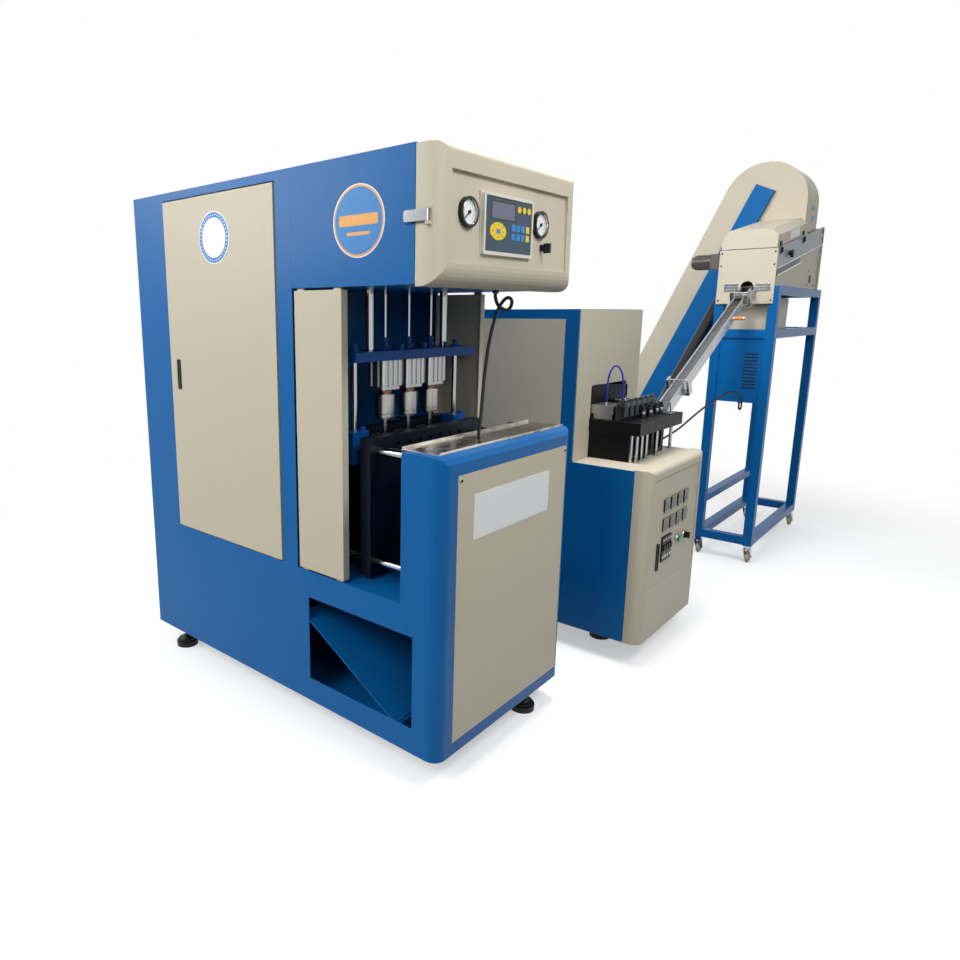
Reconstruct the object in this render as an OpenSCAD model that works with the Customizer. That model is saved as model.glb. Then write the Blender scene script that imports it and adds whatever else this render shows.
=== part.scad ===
// Three-cavity stretch blow moulding line: moulding cabinet, preform heater and preform loader.
// The line runs along +X, the operator stands at -Y and the floor is z = 0.
// Sizes are in millimetres. The origin is on the floor, under the middle of the line's outer box.

/* [Moulding cabinet] */
// Width of the moulding cabinet across the line
cab_w = 810; // [760:5:900]
// Depth from the front guard to the back
cab_d = 1626; // [1560:2:1800]
// Height of the top above the floor
cab_h = 1982; // [1950:2:2060]
// Height of the base box between its feet and the mould bay
base_h = 508; // [480:2:540]
// Distance from the guard's front to the full-height rear cabinet
rear_y = 640; // [630:5:680]
// Distance from the guard's front to the blue head
head_y = 112; // [105:1:125]
// Height of the head above the mould bay
head_h = 382; // [360:2:400]
// Thickness of the cabinet sheet
sheet = 3; // [2:0.5:4]
// Radius of the entries for the supplies at the back
entry_r = 12.75; // [10.25:0.25:16.25]
// Gap under every cabinet, taken up by the feet
floor_gap = 105; // [95:1:120]
// Depth of the bulkhead that ends the mould bay
bulkhead_y = 760; // [740:5:800]

/* [Cabinet door] */
// Width of the side door
door_w = 676; // [600:2:680]
// Height of the side door
door_h = 1326; // [1200:2:1330]
// Distance from the rear cabinet's front to the door opening
door_inset = 79; // [60:1:85]
// Depth of the folded door pan
door_t = 24; // [20:1:30]
// Gap between the door and its opening
door_gap = 5; // [4.5:0.5:7]
// How far the door stands proud of the cabinet
door_proud = 4; // [3:0.5:4]
// Length of the black pull
pull_h = 123; // [100:1:140]

/* [Front guard] */
// Depth of the guard in front of the mould bay
guard_d = 155; // [145:1:170]
// Height of the guard's top above the floor
guard_h = 1104; // [1060:2:1110]
// Radius of the guard's upright front corners
guard_r = 45; // [30:1:60]
// Border of blue beside the front panel
panel_side = 82; // [70:1:100]
// Border of blue above the front panel
panel_edge = 64; // [50:1:70]
// Thickness of the inset panels
panel_t = 4; // [3:0.5:6]

/* [Control cover] */
// Depth of the control cover in front of the head
cover_d = 80; // [70:1:95]
// Radius of the cover's front corners
cover_r = 50; // [35:1:55]
// Radius of the cover's lower front edge
cover_low_r = 62; // [50:1:68]
// Wall of the cover
cover_t = 4; // [3:0.5:5]
// Gap between the cover and the head
cover_gap = 2; // [1.5:0.5:3]
// Width of the screen unit
hmi_w = 281; // [250:1:290]
// Height of the screen unit
hmi_h = 177; // [160:1:190]
// Outer radius of the pressure gauges
gauge_r = 43; // [36:1:45]

/* [Bin opening] */
// Length of the bin opening in the side
bin_w = 431; // [380:1:440]
// Height of the bin opening
bin_h = 319; // [280:1:330]
// Height of the bin opening's sill above the base's underside
bin_sill = 90; // [70:1:110]

/* [Sliding side panels] */
// Length of a sliding panel along the bay
slide_w = 222; // [200:1:230]
// Thickness of a sliding panel
slide_t = 28; // [24:1:32]

/* [Blow station] */
// Distance between cavities
cav_pitch = 130; // [120:1:132]
// Distance from the guard's front to the cavity line
cav_y = 464; // [455:1:470]
// Height of the cross plate's underside
plate_z = 1359; // [1350:1:1370]
// Thickness of the cross plate
plate_t = 33; // [28:1:36]
// Length of the cross plate
plate_w = 680; // [670:2:690]
// Depth of the cross plate
plate_d = 120; // [110:1:126]
// Half distance between the outer columns
column_x = 288; // [280:1:290]
// Radius of the outer columns
column_r = 10; // [8:0.5:12]
// Half distance between the thick guide rods
guide_x = 210; // [205:1:214]
// Radius of the thick guide rods
guide_r = 14; // [12:0.5:16]
// Width of a blow cylinder
cyl_w = 104; // [96:1:106]
// Depth of a blow cylinder
cyl_d = 76; // [70:1:80]
// Height of a blow cylinder
cyl_h = 106; // [96:1:110]
// Radius of a blow core
core_r = 25.5; // [24:0.5:28]
// Length of a blow core
core_h = 92; // [84:1:96]
// Radius of a stretch rod
rod_r = 5; // [4:0.5:6]
// Height of the corner blocks
block_h = 110; // [100:1:116]
// Width of a corner block
block_w = 80; // [70:1:84]
// Depth of a corner block
block_d = 60; // [56:1:64]
// Height of the corner blocks' top
block_top = 1122; // [1118:1:1124]

/* [Clamp and moulds] */
// Radius of the tie bars
bar_r = 16; // [14:0.5:18]
// Height of the upper tie bars
bar_top_z = 1066; // [1060:1:1070]
// Height of the lower tie bars
bar_low_z = 677; // [670:1:684]
// Thickness of a moving platen
platen_t = 45; // [40:1:48]
// Width of a mould block
mould_w = 350; // [340:1:354]
// Height of a mould block
mould_h = 310; // [300:1:316]
// Radius of a bottle cavity
bottle_r = 32; // [28:1:34]

/* [Heater] */
// Distance from the moulding cabinet's left side to the heater's left side
heat_x = 1235; // [1200:5:1300]
// Width of the heater
heat_w = 672; // [640:2:700]
// Distance from the guard's front to the oven's front
oven_y = 209; // [200:1:215]
// Depth of the oven
oven_d = 1260; // [1200:5:1300]
// Height of the oven's top above the floor
oven_h = 1536; // [1500:2:1560]
// Depth of the console in front of the oven
console_d = 285; // [280:1:300]
// Height of the console's top above the floor
console_h = 872; // [860:2:880]
// Depth of the rounded console cover
ccover_d = 70; // [60:1:80]
// Height of the console cover's top above the console
ccover_rise = 6; // [2:1:12]
// Blue border around the oven's side panel
oven_border = 62; // [50:1:70]
// Width of the oven's front opening
mouth_w = 382; // [340:2:400]
// Height of the oven's front opening above the console
mouth_h = 326; // [300:2:340]

/* [Infeed table] */
// Length of the infeed table
deck_w = 512; // [480:2:516]
// Height of the infeed table's top above the console
deck_rise = 178; // [168:1:188]
// Depth of the table's skirt
deck_skirt = 56; // [40:1:60]
// Distance between the chain's spindles
spindle_pitch = 60; // [56:1:64]

/* [Transfer rail] */
// Height of the transfer rail's underside above the console
rail_rise = 28; // [8:2:48]
// Height of the transfer rail
rail_h = 60; // [50:1:66]
// Depth of the transfer rail
rail_d = 70; // [60:1:80]

/* [Loader stand] */
// Distance from the moulding cabinet's left side to the stand
stand_x = 2965; // [2940:5:3000]
// Length of the stand
stand_w = 1120; // [1100:5:1160]
// Distance from the guard's front forward to the stand's front
stand_y = -145; // [-150:1:-140]
// Depth of the stand
stand_d = 340; // [330:1:350]
// Square tube of the stand
tube = 50; // [40:1:55]
// Height of the stand's low rails
low_z = 122; // [118:1:130]
// Height of the stand's shelf rails
mid_z = 1374; // [1360:2:1390]
// Height of the stand's top rails
top_z = 1622; // [1612:2:1626]
// Radius of a castor wheel
wheel_r = 40; // [36:1:44]
// Width of a castor wheel
wheel_w = 28; // [24:1:32]
// How far a castor's axle trails behind its pivot
castor_trail = 34; // [28:1:38]

/* [Unscrambler trough] */
// Rise of the trough in degrees
trough_tilt = 10.5; // [9:0.1:12]
// Height of the trough plates' top edge at the low end
trough_z = 1882; // [1876:1:1890]
// Height of a trough plate
trough_h = 118; // [110:1:124]
// Width of the trough housing
head_w = 306; // [300:1:310]
// Height of the trough cover
lid_h = 104; // [96:1:110]
// Slope cut of the trough cover's long edges
lid_cut = 38; // [30:1:44]
// Radius of the sorting rollers
roller_r = 42; // [38:1:46]
// Gap between the sorting rollers
roller_gap = 26; // [24:1:30]
// Radius of the chute mouth
mouth_r = 36; // [32:1:38]

/* [Chute] */
// Width between the chute's side rails
chute_w = 56; // [50:1:60]
// Height of the chute's side plates
chute_h = 44; // [38:1:48]
// Thickness of the chute's steel
chute_t = 3; // [2:0.5:4]

/* [Elevator] */
// Distance from the moulding cabinet's left side to the elevator
lift_x = 3600; // [3580:5:3620]
// Width of the elevator
lift_w = 320; // [300:2:330]
// Slope of the elevator in degrees
lift_tilt = 65.6; // [64:0.1:67]
// Radius of the elevator's hood
hood_r = 248; // [240:1:252]
// Thickness of the elevator's upper casing across the slope
lift_t = 158; // [150:1:166]
// Width of the elevator's side beam across the slope
beam_w = 121; // [110:1:126]
// How far the side beam stands proud of the casing
beam_t = 34; // [28:1:38]
// Length of the hopper behind the elevator
hopper_d = 560; // [500:5:580]
// Height of the hopper's rim above the floor
hopper_z = 820; // [780:5:860]

/* [Hidden] */
$fn = 48;

// Clearances and small hardware
fit = 0.4;
run_fit = 0.05;
pin_r = 3;
lug = 16;
screw_r = 5;

// Heights and edges of the moulding cabinet
base_top = floor_gap + base_h;
ccover_h = console_h + ccover_rise;
deck_z = console_h + deck_rise;
rail_z = console_h + rail_rise;
head_z = cab_h - head_h;
door_y0 = rear_y + door_inset;
door_y1 = door_y0 + door_w + 2 * door_gap;
door_z0 = base_top + sheet;
door_z1 = door_z0 + door_h + 2 * door_gap;
door_pin = [4, door_y0 + door_gap + 6];
bay_x = cab_w / 2;
cover_y1 = head_y - cover_gap;
cover_y0 = cover_y1 - cover_d;
cover_z0 = head_z - 6;
cover_z1 = cab_h - 4;
cover_pin = [cab_w + 7, head_y - 1];
cover_hinges = [cover_z0 + 60, cover_z1 - 120];
recess = [60, 96, 68, 66];
recess_top = 12;
recess_low = 3;
hmi_x = 213;
hmi_z = cover_z1 - 286;
gauge_at = [145, 557];
gauge_z = hmi_z + 112;
key_at = [574, hmi_z + 40];
clasp_z = head_z + 186;
clasp_pin = [-7, head_y - 48];

// Blow station and clamp
plate_top = plate_z + plate_t;
cavities = [for (i = [-1 : 1]) bay_x + i * cav_pitch];
cyl_z = plate_z - cyl_h;
core_z1 = cyl_z - 14;
core_z0 = core_z1 - core_h;
block_z = block_top - block_h;
block_x = [bay_x - column_x - block_w / 2, bay_x + column_x - block_w / 2];
mould_top = block_z - 4;
mould_z = mould_top - mould_h;
half_gap = 0.3;
platen_rear = cav_y + 64;
mould_stroke = 60;
platen_w = 2 * column_x + 80;
platen_z = base_top + 14;
platen_top = bar_top_z + 44;
bar_spots = [for (x = [-column_x, column_x], z = [bar_low_z, bar_top_z]) [bay_x + x, z]];
rod_top = head_z + 300;

// Heater
heat_x1 = heat_x + heat_w;
console_y = oven_y - console_d;
ccover_y1 = console_y - cover_gap;
ccover_y0 = ccover_y1 - ccover_d;
mouth_x = heat_x + 152;
meter_x = heat_x + 186;
meter_z = floor_gap + 566;
meter_pitch = [80, 88];
switch_z = floor_gap + 302;
button_at = [heat_x + 384, floor_gap + 400];
knob_at = [heat_x + 469, floor_gap + 399];
ccover_pin = [heat_x1 + 7, console_y - 1];
ccover_hinges = [floor_gap + 60, ccover_h - 130];
handle_at = [heat_x + 146, floor_gap + 368];
deck_x = heat_x + 146;
deck_y = console_y + 44;
chain_z = deck_z + 62;
chain_y = deck_y + 92;
star_r = 46;
chain_x = [deck_x + 12, deck_x + 420];
star_at = [deck_x + 245, chain_y + 86];

// Transfer rail, hidden behind the guard
rail_y = cav_y - rail_d / 2;
rail_x = [bay_x + platen_w / 2 + 12, heat_x + 170];
carriage_x = heat_x - 260;
sill_z = rail_z + rail_h + 40;

// Loader stand and trough
stand_x1 = stand_x + stand_w;
stand_y1 = stand_y + stand_d;
stand_yc = stand_y + stand_d / 2;
stand_top = top_z + tube;
// The head's end plate stands outside the left legs
head_x = stand_x - 8;
castor_z = wheel_r * 2 + 38;
head_yc = stand_yc + 10;
head_y0 = head_yc - head_w / 2;
head_y1 = head_yc + head_w / 2;
head_z0 = top_z - tube;
plate3 = 4;
cosx = cos(trough_tilt);
trough_len = stand_w / cosx;
roller_y = roller_r + roller_gap / 2;
roller_drop = -trough_h / 2;
lid_x1 = lift_x - beam_t - 20;
lid_w = head_w - 12;
lid_wall = 4;
lid_pin = [head_w / 2 + 7, -14];
lid_hinges = [60, 500];
knob_x = 240;
knob_h = -62;
roller_ends = [16, trough_len - 80];
mouth_z = head_z0 + 92;

// Chute from the head's mouth down to the infeed table
chute_top = [head_x - 2, mouth_z];
chute_low = [deck_x + deck_w - 96, deck_z + 46];
chute_run = chute_top - chute_low;
chute_len = norm(chute_run);
chute_tilt = atan2(chute_run[1], chute_run[0]);

// Elevator profile in the Y-Z plane
lift_x1 = lift_x + lift_w;
hood_y = head_y0 + 18 + hood_r;
hood_z = 2216;
lift_dir = [cos(lift_tilt), -sin(lift_tilt)];
lift_nrm = [sin(lift_tilt), cos(lift_tilt)];
lift_top = [hood_y, hood_z] + hood_r * lift_nrm;
lift_len = (lift_top[1] - 190) / sin(lift_tilt);
lift_full = lift_t + beam_w;
case_len = (lift_top[1] - 470) / sin(lift_tilt);
hopper_y = [cab_d - 64 - hopper_d, cab_d - 64];
bracket_y = lift_top[0] + (lift_top[1] - top_z) / tan(lift_tilt) - lift_full / sin(lift_tilt) + 30;
hood_front_z = trough_z + (lift_x - stand_x) * tan(trough_tilt);

// The outer box, whose bottom centre is the origin
knob_out = 26;
box_x = [clasp_pin[0] - 6, stand_x1 - tube / 2 + castor_trail + wheel_r];
box_y = [min(ccover_y0 - knob_out, stand_y), cab_d];
mid = [(box_x[0] + box_x[1]) / 2, (box_y[0] + box_y[1]) / 2, 0];

// Colours
blue = "#2f78c0";
deep_blue = "#123a7a";
pebble = "#d6ceba";
steel = "#b9bcc0";
chrome = "#d8dade";
black = "#1c1c1e";
slate = "#8f99a3";
graphite = "#45454a";
cream = "#cfc8a8";

// Routes of the cords, as points from their exit
screen_path = [
    [548, 190, 1585.8], [548, 190, 1572], [552, 182, 1548], [562, 168, 1534], [576, 158, 1530],
    [588, 152, 1540], [592, 150, 1556], [588, 152, 1568], [576, 158, 1572], [560, 166, 1560],
    [544, 176, 1530], [530, 184, 1480], [518, 190, 1420], [508, 194, 1350], [500, 196, 1280],
    [488, 192, 1215], [468, 182, 1165], [440, 168, 1132], [410, 150, 1116], [384, 134, 1112]
];
tube_path = [
    [1405, 140, 1128.2], [1405, 140, 1155], [1403, 139, 1200], [1404, 135, 1245], [1410, 127, 1275],
    [1420, 116, 1290], [1431, 102, 1282], [1438, 90, 1255], [1441, 84, 1215], [1442, 82, 1180],
    [1442, 82, 1146.2]
];
loader_path = [
    [1880, 60, console_h + 12.2], [1880, 60, console_h + 18], [1884, 59.6, console_h + 27],
    [1893, 58.7, console_h + 33.5], [1908, 57, console_h + 36], [1960, 50, console_h + 45],
    [2080, 36, 945], [2240, 20, 995], [2420, 6, 1040],
    [2600, -6, 1070], [2750, -14, 1076], [2860, -18, 1050], [2930, -16, 1008], [2972, -8, 974],
    [3004, 4, 952], [3026, 14, 944], [3038, 22, 950], [3040, 24, 964], [3040, 24, 981.8]
];
loader_end = loader_path[len(loader_path) - 1];

module at_origin() translate(-mid) children();

module span(x, y, z) translate([x[0], y[0], z[0]]) cube([x[1] - x[0], y[1] - y[0], z[1] - z[0]]);

// Extrusions of a drawing along each axis: (y, z) along X, (x, z) along Y, (x, y) along Z
module along_x(x0, x1) translate([x0, 0, 0]) rotate([90, 0, 90]) linear_extrude(x1 - x0) children();
module along_y(y0, y1) translate([0, y1, 0]) rotate([90, 0, 0]) linear_extrude(y1 - y0) children();
module along_z(z0, z1) translate([0, 0, z0]) linear_extrude(z1 - z0) children();

module rod_x(x0, x1, y, z, r) translate([x0, y, z]) rotate([0, 90, 0]) cylinder(h = x1 - x0, r = r);
module rod_y(y0, y1, x, z, r) translate([x, y0, z]) rotate([-90, 0, 0]) cylinder(h = y1 - y0, r = r);
module rod_z(z0, z1, x, y, r) translate([x, y, z0]) cylinder(h = z1 - z0, r = r);

// Rectangle with rounded corners, from its low corner to its high corner
module soft_rect(a, b, r) {
    translate(a + [r, 0]) square(b - a - [2 * r, 0]);
    translate(a + [0, r]) square(b - a - [0, 2 * r]);
    for (x = [a[0] + r, b[0] - r], y = [a[1] + r, b[1] - r])
        translate([x, y]) circle(r = r);
}

// Low and high end of a band of half width h about c
function about(c, h) = [c - h, c + h];

// Points of an arc from angle a0 to a1 in n steps
function arc(c, r, a0, a1, n = 8) =
    [for (i = [0 : n]) let (a = a0 + (a1 - a0) * i / n) c + r * [cos(a), sin(a)]];

// Hexagonal nut or bolt head lying on a level face
module hex_nut(at, r, h) translate(at) cylinder(h = h, r = r, $fn = 6);

// Plan of a box whose two front corners are rounded, from x0 to x1 and y0 to y1
module front_plan(x, y, r)
    polygon(concat(arc([x[0] + r, y[0] + r], r, 270, 180), [[x[0], y[1]], [x[1], y[1]]],
                   arc([x[1] - r, y[0] + r], r, 360, 270)));

// External hinge at a right-hand edge: the fixed half with its pin, and the half that swings
module hinge_fixed(at, z) {
    rod_z(z, z + 50, at[0], at[1], pin_r);
    for (s = [z, z + 35]) {
        rod_z(s, s + 15, at[0], at[1], 6);
        span([at[0] - 8, at[0]], [at[1] + 2, at[1] + 12], [s, s + 15]);
    }
}

module hinge_swing(at, z) difference() {
    union() {
        rod_z(z + 15.4, z + 34.6, at[0], at[1], 6);
        span([at[0] - 8, at[0]], [at[1] - 12, at[1] - 2], [z + 15.4, z + 34.6]);
    }
    rod_z(z + 15, z + 35, at[0], at[1], pin_r + run_fit);
}

// A folded pan: a skin with four return flanges, open behind. The skin faces -X.
module pan_x(x, y, z, t) difference() {
    span(x, y, z);
    span([x[0] + t, x[1] + 1], [y[0] + t, y[1] - t], [z[0] + t, z[1] - t]);
}

// Moulding cabinet

module rear_cabinet() color(blue) at_origin() {
    difference() {
        union() {
            difference() {
                span([0, cab_w], [rear_y, cab_d], [base_top, cab_h]);
                span([sheet, cab_w - sheet], [rear_y - 1, cab_d - sheet], [base_top - 1, cab_h - sheet]);
            }
            span([1, cab_w - 1], [bulkhead_y, bulkhead_y + 12], [base_top, cab_h - 1]);
            // Frame that the door closes into
            span([0, 22], [door_y0 - sheet, door_y1 + sheet], [base_top, door_z1 + sheet]);
        }
        span([-1, 23], [door_y0, door_y1], [door_z0, door_z1]);
        rod_y(cab_d - sheet - 1, cab_d + 1, 150, base_top + 150, entry_r);
    }
    for (z = [door_z0, door_z1 - lug - 2])
        rod_z(z, z + lug + 2, door_pin[0], door_pin[1], pin_r);
}

module cabinet_door() color(pebble) at_origin() {
    x = [-door_proud, door_t - door_proud];
    y = [door_y0 + door_gap, door_y1 - door_gap];
    z = [door_z0 + door_gap, door_z1 - door_gap];
    difference() {
        union() {
            pan_x(x, y, z, 2);
            for (s = [z[0], z[1] - lug])
                span(x, [y[0], y[0] + lug], [s, s + lug]);
        }
        rod_z(z[0] - 1, z[0] + lug + 1, door_pin[0], door_pin[1], pin_r + run_fit);
        rod_z(z[1] - lug - 1, z[1] + 1, door_pin[0], door_pin[1], pin_r + run_fit);
        along_x(x[0] - 1, x[0] + 3)
            soft_rect([y[1] - 72, z[0] + 590], [y[1] - 42, z[0] + 590 + pull_h], 4);
    }
}

module door_handle() color(black) at_origin() {
    y1 = door_y1 - door_gap;
    z0 = door_z0 + door_gap + 590;
    difference() {
        union() {
            along_x(-door_proud, -door_proud + 14)
                soft_rect([y1 - 72 + fit, z0 + fit], [y1 - 42 - fit, z0 + pull_h - fit], 4);
        }
        along_x(-door_proud - 1, -door_proud + 11)
            soft_rect([y1 - 68, z0 + 5], [y1 - 46, z0 + pull_h - 5], 3);
    }
    span([-door_proud, -door_proud + 6], [y1 - 62, y1 - 52], [z0 + 4, z0 + pull_h - 4]);
}

module head_box() color(blue) at_origin() {
    difference() {
        span([0, cab_w], [head_y, rear_y], [head_z, cab_h]);
        span([sheet, cab_w - sheet], [head_y + sheet, rear_y + 1], [head_z + sheet, cab_h - sheet]);
        for (x = cavities)
            rod_z(head_z - 1, head_z + 20, x, cav_y, rod_r + 6);
    }
    for (z = cover_hinges) hinge_fixed(cover_pin, z);
    // Gland of the screen cable
    rod_z(head_z - 14, head_z, screen_path[0][0], screen_path[0][1], 11);
    // Keeper of the side clasp: a flat pad, without a hook
    along_x(-4, 1) soft_rect([head_y + 6, clasp_z - 20], [head_y + 36, clasp_z + 20], 6);
    rod_x(-6, -4, head_y + 22, clasp_z, 10);
}

// Side outline of the control cover: rounded top and a large rounded lower front edge
module cover_side(i) polygon(concat(
    [[cover_y1 + i, cover_z1 - i], [cover_y1 + i, cover_z0 + i]],
    arc([cover_y0 + cover_low_r, cover_z0 + cover_low_r], cover_low_r - i, 270, 180),
    arc([cover_y0 + 20, cover_z1 - 20], 20 - i, 180, 90)));

module cover_body(i) intersection() {
    along_x(i, cab_w - i) cover_side(i);
    along_z(cover_z0, cover_z1) front_plan([i, cab_w - i], [cover_y0 + i, cover_y1 + i], cover_r - i);
}

module control_cover() color(pebble) at_origin() difference() {
    union() {
        difference() {
            cover_body(0);
            cover_body(cover_t);
        }
        for (z = cover_hinges) hinge_swing(cover_pin, z);
        // Bearings of the side clasp, with its pin
        for (z = [clasp_z - 26, clasp_z + 16.4]) {
            rod_z(z, z + 9.6, clasp_pin[0], clasp_pin[1], 6);
            span([clasp_pin[0], 6], about(clasp_pin[1], 6), [z, z + 9.6]);
        }
        rod_z(clasp_z - 26, clasp_z + 26, clasp_pin[0], clasp_pin[1], 2);
        // Thicker land behind the recess and the instruments
        span([recess[0] - 8, cab_w - recess[1] + 40], [cover_y0 + 2, cover_y0 + 24],
             [cover_z0 + recess[2] - 8, cover_z1 - recess[3] + 8]);
    }
    along_x(recess[0], cab_w - recess[1] + 24) polygon([
        [cover_y0 - 1, cover_z0 + recess[2]], [cover_y0 + recess_low, cover_z0 + recess[2]],
        [cover_y0 + recess_top, cover_z1 - recess[3]], [cover_y0 - 1, cover_z1 - recess[3]]]);
    span([hmi_x - 3 - fit, hmi_x + hmi_w + 3 + fit], [cover_y0 - 1, cover_y0 + 30],
         [hmi_z - 3 - fit, hmi_z + hmi_h + 3 + fit]);
    for (x = gauge_at)
        rod_y(cover_y0 - 1, cover_y0 + 30, x, gauge_z, gauge_r - 4);
    // Seat of the gauges' rims, square to the cover
    for (x = gauge_at)
        rod_y(cover_y0 - 1, cover_y0 + 9, x, gauge_z, gauge_r + fit);
    rod_y(cover_y0 - 1, cover_y0 + 30, key_at[0], key_at[1], 11);
}

module screen_unit() color("#e6e2d6") at_origin() {
    y = cover_y0;
    difference() {
        union() {
            along_y(y - 8, y + 4) soft_rect([hmi_x, hmi_z], [hmi_x + hmi_w, hmi_z + hmi_h], 6);
            span([hmi_x - 3, hmi_x + hmi_w + 3], [y + 4, y + 22], [hmi_z - 3, hmi_z + hmi_h + 3]);
        }
        span([hmi_x + 8, hmi_x + hmi_w - 8], [y - 9, y - 4], [hmi_z + 10, hmi_z + hmi_h - 8]);
    }
}

module gauge_cases() color(graphite) at_origin() for (x = gauge_at) {
    y = cover_y0 + 4;
    difference() {
        union() {
            rod_y(y - 10, y + 5, x, gauge_z, gauge_r);
            rod_y(y + 5, y + 40, x, gauge_z, gauge_r - 4 - fit);
        }
        rod_y(y - 11, y - 3, x, gauge_z, gauge_r - 7);
        rod_y(y - 4, y + 12, x, gauge_z, 2 + run_fit);
    }
}

// Pointer of a gauge on its spindle, resting on the low end of the scale
module needle(x) translate([x, cover_y0 + 4, gauge_z]) {
    rod_y(-8, -3.4, 0, 0, 5);
    rod_y(-3.4, 10, 0, 0, 2);
    rotate([0, 140, 0]) span([-9, 29], [-7, -5.5], [-1.4, 1.4]);
}

module needle_left() color(black) at_origin() needle(gauge_at[0]);

module needle_right() color(black) at_origin() needle(gauge_at[1]);

module key_switch() color(black) at_origin() {
    y = cover_y0 + 4;
    rod_y(y - 10, y + 26, key_at[0], key_at[1], 11 - run_fit);
    along_y(y - 34, y - 10) soft_rect(key_at - [4, 18], key_at + [4, 14], 3);
}

module clasp_lever() color(chrome) at_origin() difference() {
    union() {
        along_x(clasp_pin[0] - 6, clasp_pin[0] - 2) polygon(concat(
            [[clasp_pin[1], clasp_z + 16], [clasp_pin[1], clasp_z - 16]],
            arc([head_y + 24, clasp_z - 8], 8, 270, 360, 4), arc([head_y + 24, clasp_z + 8], 8, 0, 90, 4)));
        rod_z(clasp_z - 16, clasp_z + 16, clasp_pin[0], clasp_pin[1], 6);
    }
    rod_z(clasp_z - 17, clasp_z + 17, clasp_pin[0], clasp_pin[1], 2 + run_fit);
}

module base_box() color(blue) at_origin() {
    low = floor_gap + bin_sill;
    difference() {
        span([0, cab_w], [guard_d, cab_d], [floor_gap, base_top]);
        span([sheet, cab_w - sheet], [guard_d + sheet, cab_d - sheet],
             [floor_gap + sheet, base_top - sheet]);
        // Bin opening, and the way through the wall behind the guard
        span([-1, sheet + 1], [guard_d - 1, guard_d + bin_w], [low, low + bin_h]);
        span([sheet, cab_w - sheet], [guard_d - 1, guard_d + sheet + 1], [low, low + bin_h]);
    }
    // Sloping sheet that the bottles roll down
    along_x(sheet - 1, cab_w - sheet + 1) polygon([
        [guard_d + 20, low - 14], [guard_d + bin_w + 40, low + bin_h - 70],
        [guard_d + bin_w + 40, low + bin_h - 66], [guard_d + 20, low - 10]]);
}

module front_guard() color(blue) at_origin() {
    z0 = floor_gap;
    difference() {
        intersection() {
            along_z(z0, guard_h) front_plan([0, cab_w], [0, guard_d], guard_r);
            along_x(0, cab_w) polygon([
                [0, z0], [guard_d, z0], [guard_d, guard_h], [34, guard_h], [12, guard_h - 8],
                [0, guard_h - 26]]);
        }
        along_z(z0 + sheet, guard_h - sheet - 26)
            front_plan([sheet, cab_w - sheet], [sheet, guard_d - sheet], guard_r - sheet);
        // Bin opening, which runs on into the guard
        span([-1, sheet + 1], [guard_d - 52, guard_d + 1], [z0 + bin_sill, z0 + bin_sill + bin_h]);
        span([sheet, cab_w - sheet], [guard_d - sheet - 1, guard_d + 1],
             [z0 + bin_sill, z0 + bin_sill + bin_h]);
        // Window that the front panel closes
        span([panel_side, cab_w - panel_side + 38], [-1, sheet + 1], [z0 + 44, guard_h - panel_edge]);
    }
    // Ledge that the front panel is screwed to
    difference() {
        span([panel_side - 18, cab_w - 32], [sheet - 1, sheet + 3], [z0 + 26, guard_h - panel_edge + 18]);
        span([panel_side + 14, cab_w - panel_side + 24], [0, sheet + 4],
             [z0 + 58, guard_h - panel_edge - 14]);
    }
    // Curved sheet that turns the finished bottles down into the bin
    c = [guard_d, 700];
    along_x(bay_x - 250, bay_x + 250) polygon(concat(
        arc(c, 122, 90, 0, 12), [[c[0] + 122, base_top]], [[c[0] + 118, base_top]], arc(c, 118, 0, 90, 12)));
    // Sill under the right-hand sliding panel
    span([cab_w - slide_t, cab_w], [guard_d, rear_y], [sill_z - 8, sill_z]);
}

module front_panel() color(pebble) at_origin() {
    z = [floor_gap + 44 + fit, guard_h - panel_edge - fit];
    x = [panel_side + fit, cab_w - panel_side + 38 - fit];
    span(x, [-1, sheet - 1], z);
    for (px = [x[0] + 14, x[1] - 14])
        rod_y(-4, -1, px, z[1] - 16, screw_r);
}

module guard_tray() color(steel) at_origin() difference() {
    union() {
        span([36, cab_w - 12], [36, guard_d + 28], [guard_h, guard_h + 2]);
        span([36, cab_w - 12], [guard_d + 26, guard_d + 28], [guard_h - 22, guard_h + 10]);
        span([36, cab_w - 12], [36, 38], [guard_h, guard_h + 8]);
    }
    for (x = [90, cab_w - 70])
        rod_z(guard_h - 1, guard_h + 3, x, guard_d - 30, 4);
}

// A sliding panel: a pan with its open side to the bay, on runners above a sill
module side_panel(low) {
    y = [rear_y - 11 - slide_w, rear_y - 11];
    z = [low + 8, head_z - 8];
    pan_x([0, slide_t], y, z, 2);
    for (py = [y[0] + 10, y[1] - 40], pz = [z[0] - 7.5, z[1] - 0.5])
        span([6, 18], [py, py + 30], [pz, pz + 8]);
}

module side_panel_left() color(pebble) at_origin() side_panel(base_top);

module side_panel_right() color(pebble) at_origin()
    translate([cab_w, 0, 0]) mirror([1, 0, 0]) side_panel(sill_z);

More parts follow.
